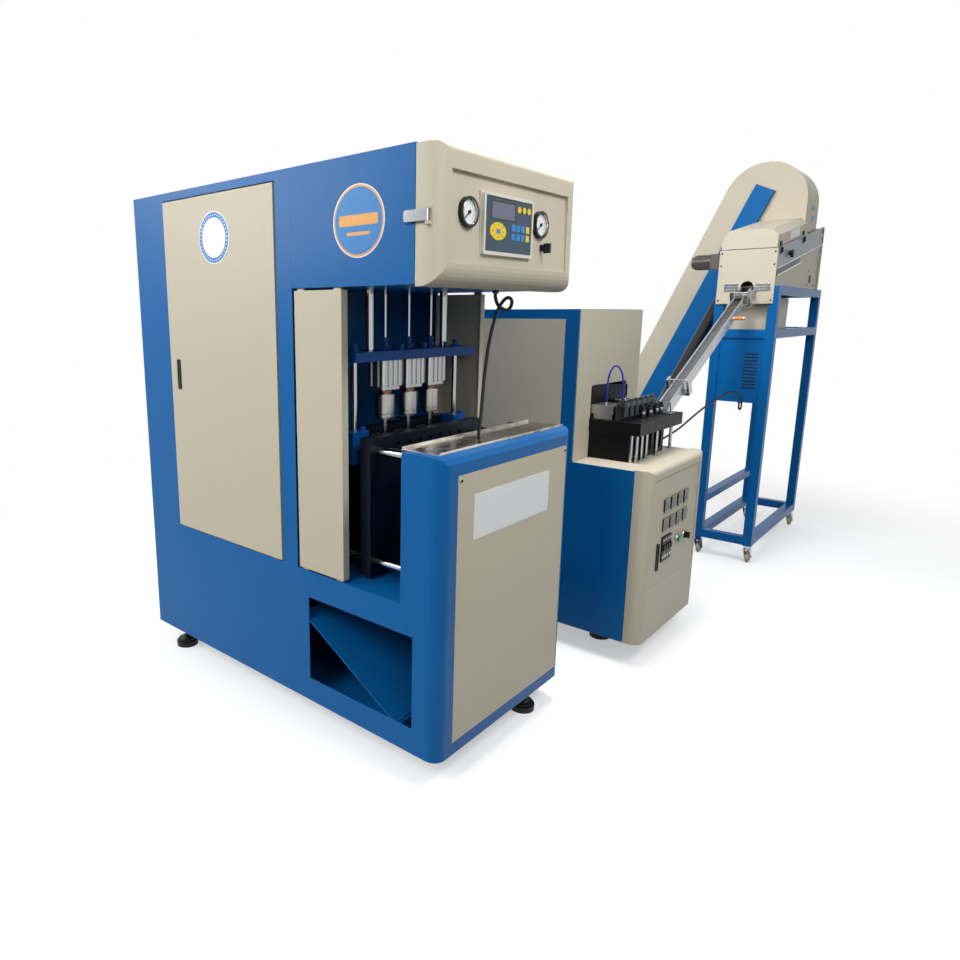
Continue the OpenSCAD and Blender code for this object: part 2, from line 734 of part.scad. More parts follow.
// Cross plate and corner blocks, which the columns tie together
module blow_frame() color(deep_blue) at_origin() {
    y = [cav_y - plate_d / 2, cav_y + plate_d / 2];
    difference() {
        span([bay_x - plate_w / 2, bay_x + plate_w / 2], y, [plate_z, plate_top]);
        for (x = cavities)
            rod_z(plate_z - 1, plate_top + 1, x, cav_y, rod_r + 2);
    }
    // Gland nuts that the stretch rods slide through
    for (x = cavities) difference() {
        union() {
            rod_z(plate_top, plate_top + 44, x, cav_y, 9);
            hex_nut([x, cav_y, plate_top + 8], 13, 12);
            hex_nut([x, cav_y, plate_top + 28], 12, 10);
        }
        rod_z(plate_top - 1, plate_top + 45, x, cav_y, rod_r + 2);
    }
    for (x = cavities, p = [[56, -30], [56, 30]])
        hex_nut([x + p[0], cav_y + p[1], plate_top], 8, 20);
    for (s = [-1, 1]) {
        hex_nut([bay_x + s * column_x, cav_y, plate_top], 17, 8);
        rod_z(plate_top + 8, plate_top + 26, bay_x + s * column_x, cav_y, 10);
    }
    for (x = block_x) difference() {
        union() {
            span([x, x + block_w], [cav_y - block_d / 2, cav_y + block_d / 2], [block_z, block_top]);
            rod_z(block_top, block_top + 12, x + block_w - 14, cav_y - 12, 11);
        }
        rod_y(y[0], y[1], x + block_w / 2, bar_top_z, bar_r);
    }
}

// Round bars of the station: columns, guide rods and the tie bars that the moulds ride on
module guide_columns() color(chrome) at_origin() {
    for (s = [-1, 1]) {
        rod_z(block_top, plate_z, bay_x + s * column_x, cav_y, column_r);
        rod_z(plate_top, head_z, bay_x + s * guide_x, cav_y, guide_r);
    }
    for (p = bar_spots)
        rod_y(guard_d, bulkhead_y, p[0], p[1], bar_r);
}

// One mould half with its platen, drawn for the rear: the parting face is at cav_y
module mould_half() {
    y0 = cav_y + half_gap;
    difference() {
        union() {
            span([bay_x - platen_w / 2, bay_x + platen_w / 2], [platen_rear, platen_rear + platen_t],
                 [platen_z, platen_top]);
            span([bay_x - mould_w / 2, bay_x + mould_w / 2], [y0, platen_rear], [mould_z, mould_top]);
        }
        for (p = bar_spots)
            rod_y(platen_rear - 1, platen_rear + platen_t + 1, p[0], p[1], bar_r + run_fit);
        for (x = cavities) {
            rod_z(mould_z + 30, mould_top - 60, x, cav_y, bottle_r);
            translate([x, cav_y, mould_top - 60]) cylinder(h = 40, r1 = bottle_r, r2 = 14);
            rod_z(mould_top - 20, mould_top + 1, x, cav_y, 14);
        }
        for (x = [-180 : 60 : 180])
            rod_y(platen_rear - 1, platen_rear + platen_t + 1, bay_x + x, platen_top - 36, 9);
    }
}

module rear_mould() color(graphite) at_origin() mould_half();

module front_mould() color(graphite) at_origin() translate([0, 2 * cav_y, 0]) mirror([0, 1, 0]) mould_half();

module blow_cylinders() color(steel) at_origin() for (x = cavities) difference() {
    union() {
        along_z(cyl_z + 12, plate_z) difference() {
            soft_rect([x - cyl_w / 2, cav_y - cyl_d / 2], [x + cyl_w / 2, cav_y + cyl_d / 2], 8);
            for (s = [-1, 1], i = [-1, 0, 1])
                translate([x + i * 26 - 4, cav_y + s * cyl_d / 2 - 4]) square([8, 8]);
            for (s = [-1, 1], i = [-1, 1])
                translate([x + s * cyl_w / 2 - 4, cav_y + i * 16 - 4]) square([8, 8]);
        }
        along_z(cyl_z, cyl_z + 12)
            soft_rect([x - cyl_w / 2 + 6, cav_y - cyl_d / 2 + 4],
                      [x + cyl_w / 2 - 6, cav_y + cyl_d / 2 - 4], 10);
    }
    rod_z(cyl_z - 1, plate_z + 1, x, cav_y, 18);
}

module blow_cores() color(chrome) at_origin() for (x = cavities) difference() {
    union() {
        rod_z(core_z0, core_z0 + 22, x, cav_y, core_r);
        rod_z(core_z0 + 22, core_z0 + 25, x, cav_y, core_r - 3);
        rod_z(core_z0 + 25, core_z1, x, cav_y, core_r);
        rod_z(core_z1, cyl_z + 62, x, cav_y, 18 - run_fit);
        rod_z(core_z0 - 60, core_z0, x, cav_y, 9);
    }
    rod_z(core_z0 - 61, cyl_z + 63, x, cav_y, rod_r + run_fit);
}

module stretch_rods() color(chrome) at_origin() {
    for (x = cavities)
        rod_z(core_z0 - 66, rod_top, x, cav_y, rod_r);
    span([cavities[0] - 40, cavities[2] + 40], [cav_y - 26, cav_y + 26], [rod_top, rod_top + 24]);
}

// One levelling foot: rubber disc, steel ring, stud and lock nut
module foot(x, y) {
    rod_z(0, 22, x, y, 48);
    rod_z(22, 32, x, y, 40);
    translate([x, y, 32]) cylinder(h = 14, r1 = 30, r2 = 14);
    rod_z(46, floor_gap, x, y, 9);
    hex_nut([x, y, floor_gap - 16], 17, 12);
}

module levelling_feet() color(black) at_origin() {
    for (p = [[200, guard_d + 20], [cab_w - 167, 66], [66, cab_d - 118], [cab_w - 80, cab_d - 118]])
        foot(p[0], p[1]);
    for (x = [heat_x + 210, heat_x1 - 140], y = [console_y + 190, oven_y + oven_d - 200])
        foot(x, y);
}

// Heater

module oven_body() color(blue) at_origin() difference() {
    y = [oven_y, oven_y + oven_d];
    union() {
        difference() {
            span([heat_x, heat_x1], y, [floor_gap, oven_h]);
            span([heat_x + sheet, heat_x1 - sheet], [y[0] + sheet, y[1] - sheet],
                 [floor_gap + sheet, oven_h - sheet]);
        }
        // Shelf that the lamps and the transfer rail stand on
        span([heat_x + 1, heat_x1 - 1], [y[0] + 1, y[1] - 1], [console_h - 20, console_h - 16]);
    }
    for (x = [heat_x - 1, heat_x1 - sheet - 1])
        span([x, x + sheet + 2], [y[0] + oven_border, y[1] - oven_border],
             [console_h, oven_h - oven_border + 20]);
    span([mouth_x, mouth_x + mouth_w], [y[0] - 1, y[0] + sheet + 1], [console_h, console_h + mouth_h]);
    rod_y(y[1] - sheet - 1, y[1] + 1, heat_x + 150, floor_gap + 200, entry_r);
}

module oven_panels() color(pebble) at_origin() {
    y = [oven_y + oven_border + fit, oven_y + oven_d - oven_border - fit];
    z = [console_h + fit, oven_h - oven_border + 20 - fit];
    for (x = [heat_x - 2, heat_x1 - panel_t + 2]) difference() {
        span([x, x + panel_t], y, z);
        // Way in for the transfer rail
        span([heat_x - 3, heat_x + panel_t], [rail_y - 100, rail_y + rail_d + 40],
             [z[0] - 1, rail_z + rail_h + 60]);
    }
    difference() {
        span([heat_x + 8, heat_x1], [oven_y - panel_t, oven_y], [console_h, oven_h - 2]);
        span([mouth_x, mouth_x + mouth_w], [oven_y - panel_t - 1, oven_y + 1],
             [console_h - 1, console_h + mouth_h]);
    }
}

// Infrared lamps on their reflector, inside the oven behind the spindle chain
module oven_lamps() color("#b98a4a") at_origin() {
    x = [mouth_x - 40, mouth_x + mouth_w + 30];
    y = oven_y + 190;
    span(x, [y, y + 4], [console_h - 16, oven_h - 250]);
    for (z = [console_h + 60 : 70 : console_h + 340])
        rod_x(x[0], x[1], y - 16, z, 7);
    for (px = x)
        span([px - 4, px + 4], [y - 26, y + 4], [console_h + 30, console_h + 370]);
}

module console_body() color(blue) at_origin() {
    y = [console_y, oven_y];
    difference() {
        span([heat_x, heat_x1], y, [floor_gap, console_h]);
        span([heat_x + sheet, heat_x1 - sheet], [y[0] - 1, y[1] - sheet],
             [floor_gap + sheet, console_h - sheet]);
    }
    for (z = ccover_hinges) hinge_fixed(ccover_pin, z);
    // Gland of the loader cable
    rod_z(console_h, console_h + 12, loader_path[0][0], loader_path[0][1], 10);
}

module ccover_side(i) polygon(concat(
    [[ccover_y1 + i, ccover_h - i], [ccover_y1 + i, floor_gap + i], [ccover_y0 + i, floor_gap + i]],
    arc([ccover_y0 + 26, ccover_h - 26], 26 - i, 180, 90)));

module ccover_body(i) intersection() {
    along_x(heat_x + i, heat_x1 - i) ccover_side(i);
    along_z(floor_gap, ccover_h)
        front_plan([heat_x + i, heat_x1 - i], [ccover_y0 + i, ccover_y1 + i], cover_r - i);
}

module console_cover() color(pebble) at_origin() difference() {
    union() {
        difference() {
            ccover_body(0);
            ccover_body(cover_t);
        }
        span([heat_x + 52, heat_x1 - 52], [ccover_y0 + 1, ccover_y0 + 18],
             [switch_z - 68, ccover_h - 40]);
        for (z = ccover_hinges) hinge_swing(ccover_pin, z);
    }
    // Shallow field that the instruments sit in
    along_x(heat_x + 60, heat_x1 - 60) polygon([
        [ccover_y0 - 1, switch_z - 60], [ccover_y0 + 2, switch_z - 60], [ccover_y0 + 6, ccover_h - 48],
        [ccover_y0 - 1, ccover_h - 48]]);
    for (i = [0 : 3], j = [0, 1])
        translate([meter_x + i * meter_pitch[0], 0, meter_z - j * meter_pitch[1]])
            span([0, 48], [ccover_y0 - 1, ccover_y0 + 30], [0, 52]);
    span([meter_x, meter_x + 110], [ccover_y0 - 1, ccover_y0 + 30], [switch_z + 30, switch_z + 148]);
    rod_y(ccover_y0 - 1, ccover_y0 + 30, button_at[0], button_at[1], 12 + run_fit);
    rod_y(ccover_y0 - 1, ccover_y0 + 30, knob_at[0], knob_at[1], 8 + run_fit);
    along_y(ccover_y0 - 1, ccover_y0 + 20)
        soft_rect(handle_at - [12, 62], handle_at + [12, 62], 5);
}

// Panel meters, the breaker block and the black pull, all on the console cover
module meters() color(black) at_origin() {
    y = ccover_y0;
    for (i = [0 : 3], j = [0, 1])
        translate([meter_x + i * meter_pitch[0], 0, meter_z - j * meter_pitch[1]]) difference() {
            union() {
                span([-3, 51], [y - 2, y + 1], [-3, 55]);
                span([fit, 48 - fit], [y, y + 28], [fit, 52 - fit]);
            }
            span([3, 45], [y - 3, y], [6, 46]);
        }
    span([meter_x + fit, meter_x + 110 - fit], [y + 2, y + 24], [switch_z + 30 + fit, switch_z + 148 - fit]);
    for (i = [0 : 3])
        span([meter_x + 2 + i * 27, meter_x + 27 + i * 27], [y - 4, y + 3], [switch_z + 34, switch_z + 144]);
    difference() {
        along_y(y - 3, y + 16)
            soft_rect(handle_at - [12 - fit, 62 - fit], handle_at + [12 - fit, 62 - fit], 5);
        along_y(y - 4, y + 12) soft_rect(handle_at - [7, 54], handle_at + [7, 54], 3);
    }
}

module power_button() color("#1f9a52") at_origin() {
    rod_y(ccover_y0 - 12, ccover_y0 - 1, button_at[0], button_at[1], 14);
    rod_y(ccover_y0 - 1, ccover_y0 + 26, button_at[0], button_at[1], 12);
}

module selector_knob() color(black) at_origin() {
    rod_y(ccover_y0 - 8, ccover_y0 + 24, knob_at[0], knob_at[1], 8);
    rod_y(ccover_y0 - 10, ccover_y0 - 1, knob_at[0], knob_at[1], 15);
    along_y(ccover_y0 - knob_out, ccover_y0 - 10) soft_rect(knob_at - [5, 15], knob_at + [5, 15], 3);
}

// Table where the chute ends: a plate with a skirt, on legs and a drive box
module infeed_table() color(black) at_origin() {
    x1 = deck_x + deck_w;
    y1 = oven_y - panel_t;
    difference() {
        span([deck_x, x1], [deck_y, y1], [deck_z - deck_skirt, deck_z]);
        span([deck_x + 4, x1 - 4], [deck_y + 4, y1 + 1], [deck_z - deck_skirt - 1, deck_z - 5]);
    }
    // Drive box under the table
    difference() {
        span([deck_x + 6, x1 - 110], [deck_y + 44, y1], [console_h, deck_z - 4]);
        for (i = [0 : 5])
            span([deck_x + 40 + i * 60, deck_x + 70 + i * 60], [deck_y + 43, deck_y + 52],
                 [console_h + 24, deck_z - deck_skirt - 16]);
    }
    for (p = [[12, 40], [26, 22], [86, 24], [140, 24], [250, 20], [deck_w - 40, 36]])
        rod_z(console_h, deck_z - 4, deck_x + p[0], deck_y + p[1], 7);
    // Post of the star wheel
    rod_z(deck_z, chain_z - 9, star_at[0], star_at[1], 12);
    rod_z(chain_z - 9, chain_z + 16, star_at[0], star_at[1], 6);
}

// Chain of spindles that carries the preforms past the lamps, on its guide
module spindle_chain() color(graphite) at_origin() {
    n = floor((chain_x[1] - chain_x[0]) / spindle_pitch);
    span([chain_x[0], chain_x[1]], [chain_y + 22, chain_y + 30], [deck_z, chain_z]);
    // Fitting of the air tube
    rod_z(chain_z, chain_z + 34, tube_path[10][0], tube_path[10][1], 7);
    for (i = [1 : n]) {
        x = chain_x[0] + (i - 0.5) * spindle_pitch;
        along_z(chain_z, chain_z + 18) soft_rect([x - 24, chain_y - 16], [x + 24, chain_y + 34], 12);
        rod_z(chain_z - 44, chain_z, x, chain_y - 2, 12);
        rod_z(chain_z + 18, chain_z + 30, x, chain_y - 2, 8);
    }
    span([chain_x[0] + 20, chain_x[1] - 10], [chain_y + 8, chain_y + 20], [chain_z + 18, chain_z + 26]);
}

// Toothed wheel that drives the spindle chain
module star_wheel() color(steel) at_origin() translate([star_at[0], star_at[1], 0]) {
    n = 16;
    difference() {
        union() {
            along_z(chain_z, chain_z + 10) difference() {
                union() {
                    circle(r = star_r - 8);
                    for (i = [0 : n - 1])
                        rotate(i * 360 / n) translate([star_r - 12, -4]) square([12, 8]);
                }
                for (i = [0 : 4]) rotate(i * 72) translate([25, 0]) circle(r = 6);
            }
            rod_z(chain_z - 8, chain_z + 14, 0, 0, 14);
        }
        rod_z(chain_z - 9, chain_z + 15, 0, 0, 6 + run_fit);
    }
}

// Small pneumatic cylinder that gates the preforms
module feed_cylinder() color(slate) at_origin() {
    x = [deck_x + 10, deck_x + 120];
    y = [chain_y + 40, oven_y - panel_t - 3];
    difference() {
        along_x(x[0], x[1]) soft_rect([y[0], deck_z + 24], [y[1], deck_z + 66], 5);
        for (s = y)
            span([x[0] - 1, x[1] + 1], about(s, 3), [deck_z + 41, deck_z + 49]);
    }
    span([x[0] + 10, x[1] - 10], [y[0] + 8, y[1] - 8], [deck_z, deck_z + 25]);
    rod_x(x[1], x[1] + 20, (y[0] + y[1]) / 2, deck_z + 45, 6);
    // Fitting of the air tube
    rod_z(deck_z + 65, deck_z + 78, tube_path[0][0], tube_path[0][1], 7);
}

// Transfer between oven and moulds

module transfer_rail() color(steel) at_origin() {
    difference() {
        along_x(rail_x[0], rail_x[1]) soft_rect([rail_y, rail_z], [rail_y + rail_d, rail_z + rail_h], 4);
        for (y = [rail_y - 1, rail_y + rail_d - 7])
            span([rail_x[0] - 1, rail_x[1] + 1], [y, y + 8], [rail_z + 24, rail_z + 36]);
    }
    span([rail_x[0], rail_x[0] + 30], [rail_y + 15, rail_y + rail_d - 15], [base_top, rail_z]);
    span([rail_x[1] - 40, rail_x[1] - 10], [rail_y + 15, rail_y + rail_d - 15], [console_h - 16, rail_z]);
}

// Carriage with three pairs of preform fingers
module transfer_carriage() color(graphite) at_origin() {
    x = [carriage_x, carriage_x + 100];
    y = [rail_y - 16, rail_y + rail_d + 16];
    z = rail_z + rail_h;
    difference() {
        span(x, y, [rail_z + 10, z + 18]);
        span([x[0] - 1, x[1] + 1], [rail_y - fit, rail_y + rail_d + fit], [rail_z + 9, z + fit]);
    }
    for (i = [0 : 2]) translate([x[0] + 8 + i * 34, 0, 0]) {
        span([0, 14], [y[0] - 30, y[0] + 1], [z - 6, z + 12]);
        for (f = [0, 10])
            span([f, f + 4], [y[0] - 60, y[0] - 29], [z - 6, z + 12]);
    }
}

// Loader stand and castors

module stand_frame() color(blue) at_origin() {
    xs = [stand_x, stand_x1 - tube];
    ys = [stand_y, stand_y1 - tube];
    difference() {
        union() {
            for (x = xs, y = ys) span([x, x + tube], [y, y + tube], [castor_z, stand_top]);
            for (z = [low_z, mid_z, top_z]) {
                for (y = ys) span([stand_x, stand_x1], [y, y + tube], [z, z + tube]);
                // The left side has no top rail, where the preforms leave the head
                for (x = z == top_z ? [xs[1]] : xs)
                    span([x, x + tube], [stand_y, stand_y1], [z, z + tube]);
            }
            span([stand_x, stand_x1], [ys[1], stand_y1], [low_z + 224, low_z + 224 + tube - 8]);
        }
        // Bearings of the front castors
        for (x = xs) rod_z(castor_z - 1, castor_z + 40, x + tube / 2, stand_y + tube / 2, 8 + run_fit);
    }
    // Shelf plate and the electrical box that hangs under it
    span([stand_x + tube - 1, stand_x1 - tube + 1], [stand_y + tube - 1, stand_y1 - tube + 1],
         [mid_z + 40, mid_z + 44]);
    difference() {
        span([stand_x + 10, stand_x + 210], [stand_y + tube - 1, stand_y1 - tube + 1],
             [mid_z - 380, mid_z + 1]);
        for (i = [0 : 10])
            span([stand_x + 9, stand_x + 13], [stand_y + tube + 26, stand_y + tube + 100],
                 [mid_z - 296 + i * 20, mid_z - 288 + i * 20]);
    }
    // Gland of the loader cable
    rod_z(mid_z - 392, mid_z - 379, loader_end[0], loader_end[1], 10);
    // Rear castors, which do not swivel
    for (x = xs) {
        castor_fork(x + tube / 2, stand_y1 - tube / 2);
        rod_z(castor_z - 1, castor_z + 1, x + tube / 2, stand_y1 - tube / 2, 20);
    }
}

// Castor fork: a swivel pin, a race and two cheeks that hold the axle. It trails towards +X.
module castor_fork(x, y) {
    c = wheel_w / 2 + 3;
    top = castor_z - 20;
    rod_z(castor_z - 8, castor_z - 0.4, x, y, 22);
    rod_z(top - 1, castor_z - 7, x, y, 16);
    rod_z(castor_z - 1, castor_z + 36, x, y, 8);
    for (s = [-1, 1]) along_y(y + s * c - 2, y + s * c + 2) polygon([
        [x - 22, top], [x + 22, top], [x + castor_trail + 12, wheel_r + 4],
        [x + castor_trail + 8, wheel_r - 10], [x + castor_trail - 8, wheel_r - 10],
        [x + castor_trail - 14, wheel_r + 4]]);
    span([x - 22, x + 22], [y - c - 2, y + c + 2], [top - 3, top]);
    rod_y(y - c - 5, y + c + 5, x + castor_trail, wheel_r, 6);
}

// Castor wheel in section: hub, web and rounded tread
module castor_wheel(x, y) translate([x + castor_trail, y, wheel_r]) rotate([90, 0, 0])
    rotate_extrude($fn = 64) polygon(concat(
        [[6 + run_fit, -wheel_w / 2], [14, -wheel_w / 2], [16, -wheel_w / 2 + 5],
         [wheel_r - 14, -wheel_w / 2 + 5], [wheel_r - 12, -wheel_w / 2 + 2]],
        arc([wheel_r - 10, 0], 10, -60, 60, 6),
        [[wheel_r - 12, wheel_w / 2 - 2], [wheel_r - 14, wheel_w / 2 - 5], [16, wheel_w / 2 - 5],
         [14, wheel_w / 2], [6 + run_fit, wheel_w / 2]]));

module castor_fork_left() color(steel) at_origin() castor_fork(stand_x + tube / 2, stand_y + tube / 2);

module castor_fork_right() color(steel) at_origin() castor_fork(stand_x1 - tube / 2, stand_y + tube / 2);

module castor_wheel_left() color(cream) at_origin() castor_wheel(stand_x + tube / 2, stand_y + tube / 2);

module castor_wheel_right() color(cream) at_origin() castor_wheel(stand_x1 - tube / 2, stand_y + tube / 2);

module castor_wheel_rear_left() color(cream) at_origin()
    castor_wheel(stand_x + tube / 2, stand_y1 - tube / 2);

module castor_wheel_rear_right() color(cream) at_origin()
    castor_wheel(stand_x1 - tube / 2, stand_y1 - tube / 2);

// Trough: everything in it is drawn along +X from the head and tipped up to the trough's slope
module in_trough() translate([stand_x, head_yc, trough_z]) rotate([0, -trough_tilt, 0]) children();

module trough_plates() color(slate) at_origin() {
    intersection() {
        span([stand_x, stand_x1 - 6], [stand_y, stand_y1], [stand_top, cab_h + 400]);
        in_trough() difference() {
            for (s = [-1, 1]) {
                span([-60, trough_len + 60], about(s * (head_w - plate3) / 2, plate3 / 2),
                     [-trough_h, s < 0 ? 0 : -10]);
                span([-60, trough_len + 60], about(s * (head_w / 2 - 8), 8), [-trough_h - 3, -trough_h]);
            }
            rod_y(-head_w, 0, knob_x, knob_h, 7);
        }
    }
    // Bearing plates of the sorting rollers
    in_trough() for (x = roller_ends) difference() {
        span([x, x + 8], [-head_w / 2 + plate3, head_w / 2 - plate3], [-trough_h - 3, -16]);
        for (s = [-1, 1])
            rod_x(x - 1, x + 9, s * roller_y, roller_drop, 10 + run_fit);
    }
    // Fixed half of the cover's hinges, with the pins
    in_trough() for (x = lid_hinges) {
        rod_x(x, x + 50, lid_pin[0], lid_pin[1], pin_r);
        for (s = [x, x + 35]) {
            rod_x(s, s + 15, lid_pin[0], lid_pin[1], 6);
            span([s, s + 15], [head_w / 2 - 1, lid_pin[0]], [lid_pin[1] - 14, lid_pin[1] - 3]);
        }
    }
}

// Housing under the trough: the head plate, the sloping skirts, the end plate and the shelf box
module loader_housing() color(pebble) at_origin() {
    y = [head_y0 + 10, head_y1 - 10];
    rise = tan(trough_tilt);
    under = trough_z - (trough_h + 3) / cosx;
    difference() {
        union() {
            span([head_x, stand_x], [head_y0, head_y1], [head_z0, trough_z - 3]);
            for (s = y)
                along_y(s - 2, s + 2) polygon([
                    [stand_x - 1, stand_top], [stand_x1 - 4, stand_top],
                    [stand_x1 - 4, under + (stand_w - 4) * rise], [stand_x - 1, under - rise]]);
            span([stand_x1 - 6, stand_x1], y + [-12, 12], [stand_top, trough_z + stand_w * rise - 12]);
            span([stand_x + 60, stand_x1 - 3], [y[0] - 1, y[1] + 1], [stand_top, stand_top + 4]);
        }
        rod_x(head_x - 1, stand_x + 1, stand_yc, mouth_z, mouth_r);
        rod_y(head_y0, head_y0 + 20, stand_x1 - 225, stand_top + 66, 22);
    }
    // Vibrator box on the shelf
    span([stand_x + tube + 10, stand_x + 540], [stand_y + 66, stand_yc + 100], [mid_z + 44, mid_z + 236]);
}

// Sorting roller: a long tube on a shaft, which turns in the bearing plates
module roller(s) in_trough() {
    rod_x(roller_ends[0] + 9, roller_ends[1] - 1, s * roller_y, roller_drop, roller_r);
    rod_x(roller_ends[0] - 6, roller_ends[1] + 14, s * roller_y, roller_drop, 10);
}

module roller_front() color(steel) at_origin() roller(-1);

module roller_rear() color(steel) at_origin() roller(1);

// Outline of the cover across the trough: sloped long edges
module lid_outline(i) polygon([
    [-lid_w / 2 + i, 2 - 2 * i], [-lid_w / 2 + i, lid_h - lid_cut + i / 2],
    [-lid_w / 2 + lid_cut - i / 2, lid_h - i], [lid_w / 2 - lid_cut + i / 2, lid_h - i],
    [lid_w / 2 - i, lid_h - lid_cut + i / 2], [lid_w / 2 - i, 2 - 2 * i]]);

module lid_bar(i, x0, x1) intersection() {
    in_trough() translate([-60, 0, 0]) rotate([90, 0, 90]) linear_extrude(trough_len + 60) lid_outline(i);
    span([x0, x1], [stand_y - 20, stand_y1 + 20], [trough_z - 100, cab_h + 400]);
}

module trough_cover() color(pebble) at_origin() {
    difference() {
        lid_bar(0, head_x, lid_x1);
        lid_bar(3, head_x + 4, lid_x1 + 1);
    }
    in_trough() for (x = lid_hinges) difference() {
        union() {
            rod_x(x + 15.4, x + 34.6, lid_pin[0], lid_pin[1], 6);
            span([x + 15.4, x + 34.6], [lid_w / 2 - 1, lid_pin[0] + 3], [4, 12]);
            span([x + 15.4, x + 34.6], about(lid_pin[0], 3), [lid_pin[1], 12]);
        }
        rod_x(x + 15, x + 35, lid_pin[0], lid_pin[1], pin_r + run_fit);
    }
}

// Three-lobed clamping knob
module trough_knob() color(black) at_origin() in_trough() {
    rod_y(-head_w / 2 - 10, -head_w / 2 + 16, knob_x, knob_h, 7 - run_fit);
    rod_y(-head_w / 2 - 20, -head_w / 2 - fit, knob_x, knob_h, 14);
    for (a = [30 : 120 : 270])
        rod_y(-head_w / 2 - 24, -head_w / 2 - 8, knob_x + 15 * cos(a), knob_h + 15 * sin(a), 10);
}

// Geared motor on the head's far side
module drive_motor() color(graphite) at_origin() {
    y = head_y1;
    z = trough_z - 62;
    x = stand_x + 62;
    span([x - 44, x + 44], [y, y + 60], [z - 44, z + 44]);
    rod_y(y + 59, y + 160, x, z, 40);
    for (a = [0 : 30 : 330])
        translate([x, 0, z]) rotate([0, a, 0]) span([37, 44], [y + 68, y + 152], [-2, 2]);
    rod_y(y + 159, y + 172, x, z, 34);
}

// Steel chute with its clamps, drawn along +X and tipped to its slope
module in_chute() translate([chute_low[0], stand_yc, chute_low[1]]) rotate([0, -chute_tilt, 0]) children();

module chute() color(steel) at_origin() {
    // The side plates end upright beside the head
    side_plate = [
        [0, 0], [0, -chute_h], [chute_len - chute_h * tan(chute_tilt), -chute_h], [chute_len, 0]];
    in_chute() {
        for (s = [-1, 1]) {
            along_y((s * chute_w - chute_t) / 2, (s * chute_w + chute_t) / 2) polygon(side_plate);
            rod_x(2, chute_len - 3, s * (chute_w / 2 - 4), 3, 5);
        }
        span([10, chute_len - 60], [-chute_w / 2, chute_w / 2], [-chute_h + 1, -chute_h + 4]);
        for (x = [170, chute_len - 130]) {
            span([x, x + 40], [-chute_w / 2 - 26, chute_w / 2 + 26], [-chute_h - 12, -chute_h + 1]);
            for (s = [-1, 1])
                span([x, x + 40], about(s * (chute_w / 2 + 20), 6), [-chute_h - 1, 26]);
            rod_y(-chute_w / 2 - 30, chute_w / 2 + 30, x + 20, 18, 4);
        }
        // Preform sensor on the front side plate
        rod_y(-chute_w / 2 - 60, -chute_w / 2, chute_len - 350, -chute_h / 2, 9);
        rod_y(-chute_w / 2 - 66, -chute_w / 2 - 59, chute_len - 350, -chute_h / 2, 5);
        // Cross rod that hangs in the arms
        rod_y(-49, 49, chute_len - 34, 8 - chute_h, 5);
    }
    // Slotted brackets on the head with their arms, and the foot on the table
    for (s = [-1, 1]) {
        difference() {
            span([head_x - 6, head_x], about(stand_yc + s * 84, 38), [mouth_z - 18, mouth_z + 22]);
            for (z = [mouth_z - 8, mouth_z + 6])
                span([head_x - 7, head_x + 1], about(stand_yc + s * 84, 28), [z, z + 6]);
        }
        span([head_x - 44, head_x - 5], about(stand_yc + s * 48, 2), [mouth_z - 66, mouth_z + 6]);
        span([chute_low[0] + 8, chute_low[0] + 22], about(stand_yc + s * chute_w / 2, chute_t),
             [deck_z + 3, deck_z + 30]);
    }
    span([chute_low[0] - 10, chute_low[0] + 50], about(stand_yc, 40), [deck_z, deck_z + 4]);
}

// Elevator

// Y-Z outline of a band along the slope, from depth a to depth b under its upper edge
function band(a, b, l0, l1) = [
    lift_top - a * lift_nrm + l0 * lift_dir, lift_top - a * lift_nrm + l1 * lift_dir,
    lift_top - b * lift_nrm + l1 * lift_dir, lift_top - b * lift_nrm + l0 * lift_dir];

module hood_shape(i) union() {
    translate([hood_y, hood_z]) circle(r = hood_r - i, $fn = 72);
    polygon([
        [hood_y - hood_r + i, hood_z], [hood_y - hood_r + i, hood_front_z - 10],
        [hood_y + 200, hood_front_z - 10], [hood_y + hood_r - i, hood_z]]);
    polygon(band(i, lift_t, 0, case_len));
}

module elevator_casing() color(pebble) at_origin() {
    difference() {
        along_x(lift_x, lift_x1) hood_shape(0);
        along_x(lift_x + sheet, lift_x1 - sheet) hood_shape(sheet);
        // The hood ends on the top edge of the trough
        in_trough() span([0, trough_len + 60], [-head_w / 2 - 10, head_w / 2 + 10], [-400, 0]);
    }
    // Fixed end of the trough's cover, beside the hood
    difference() {
        lid_bar(0, lid_x1 + 2, lift_x + 1);
        lid_bar(3, lid_x1 + 1, lift_x + 2);
        along_x(lift_x - beam_t - 1, lift_x + 2) polygon(band(lift_t, lift_full + 2, -90, lift_len));
    }
    // Hopper around the elevator's foot
    x = [lift_x - beam_t - 4, lift_x1 + beam_t + 4];
    difference() {
        span(x, hopper_y, [30, hopper_z]);
        span(x + [4, -4], hopper_y + [4, -4], [34, hopper_z + 1]);
        along_x(x[0] + 4, x[1] - 4) polygon(band(-2, lift_full + 2, 0, lift_len + 40));
    }
    for (px = [x[0] + 8, x[1] - 38], y = [hopper_y[0] + 10, hopper_y[1] - 40])
        span([px, px + 30], [y, y + 30], [0, 31]);
}

// Side beams, with the brackets that hold the elevator to the loader's stand
module elevator_beams() color(blue) at_origin() for (x = [lift_x - beam_t, lift_x1]) {
    along_x(x, x + beam_t) polygon(band(lift_t, lift_full, -85, lift_len - 20));
    span([x, x + beam_t], [stand_y1, bracket_y], [top_z, stand_top]);
}

// Belt loop between the beams
module elevator_belt() color("#16241f") at_origin() along_x(lift_x + 8, lift_x1 - 8) difference() {
    polygon(band(lift_t + 4, lift_full - 30, 120, lift_len - 30));
    polygon(band(lift_t + 12, lift_full - 38, 128, lift_len - 38));
}

// Cords: one tube swept along a route

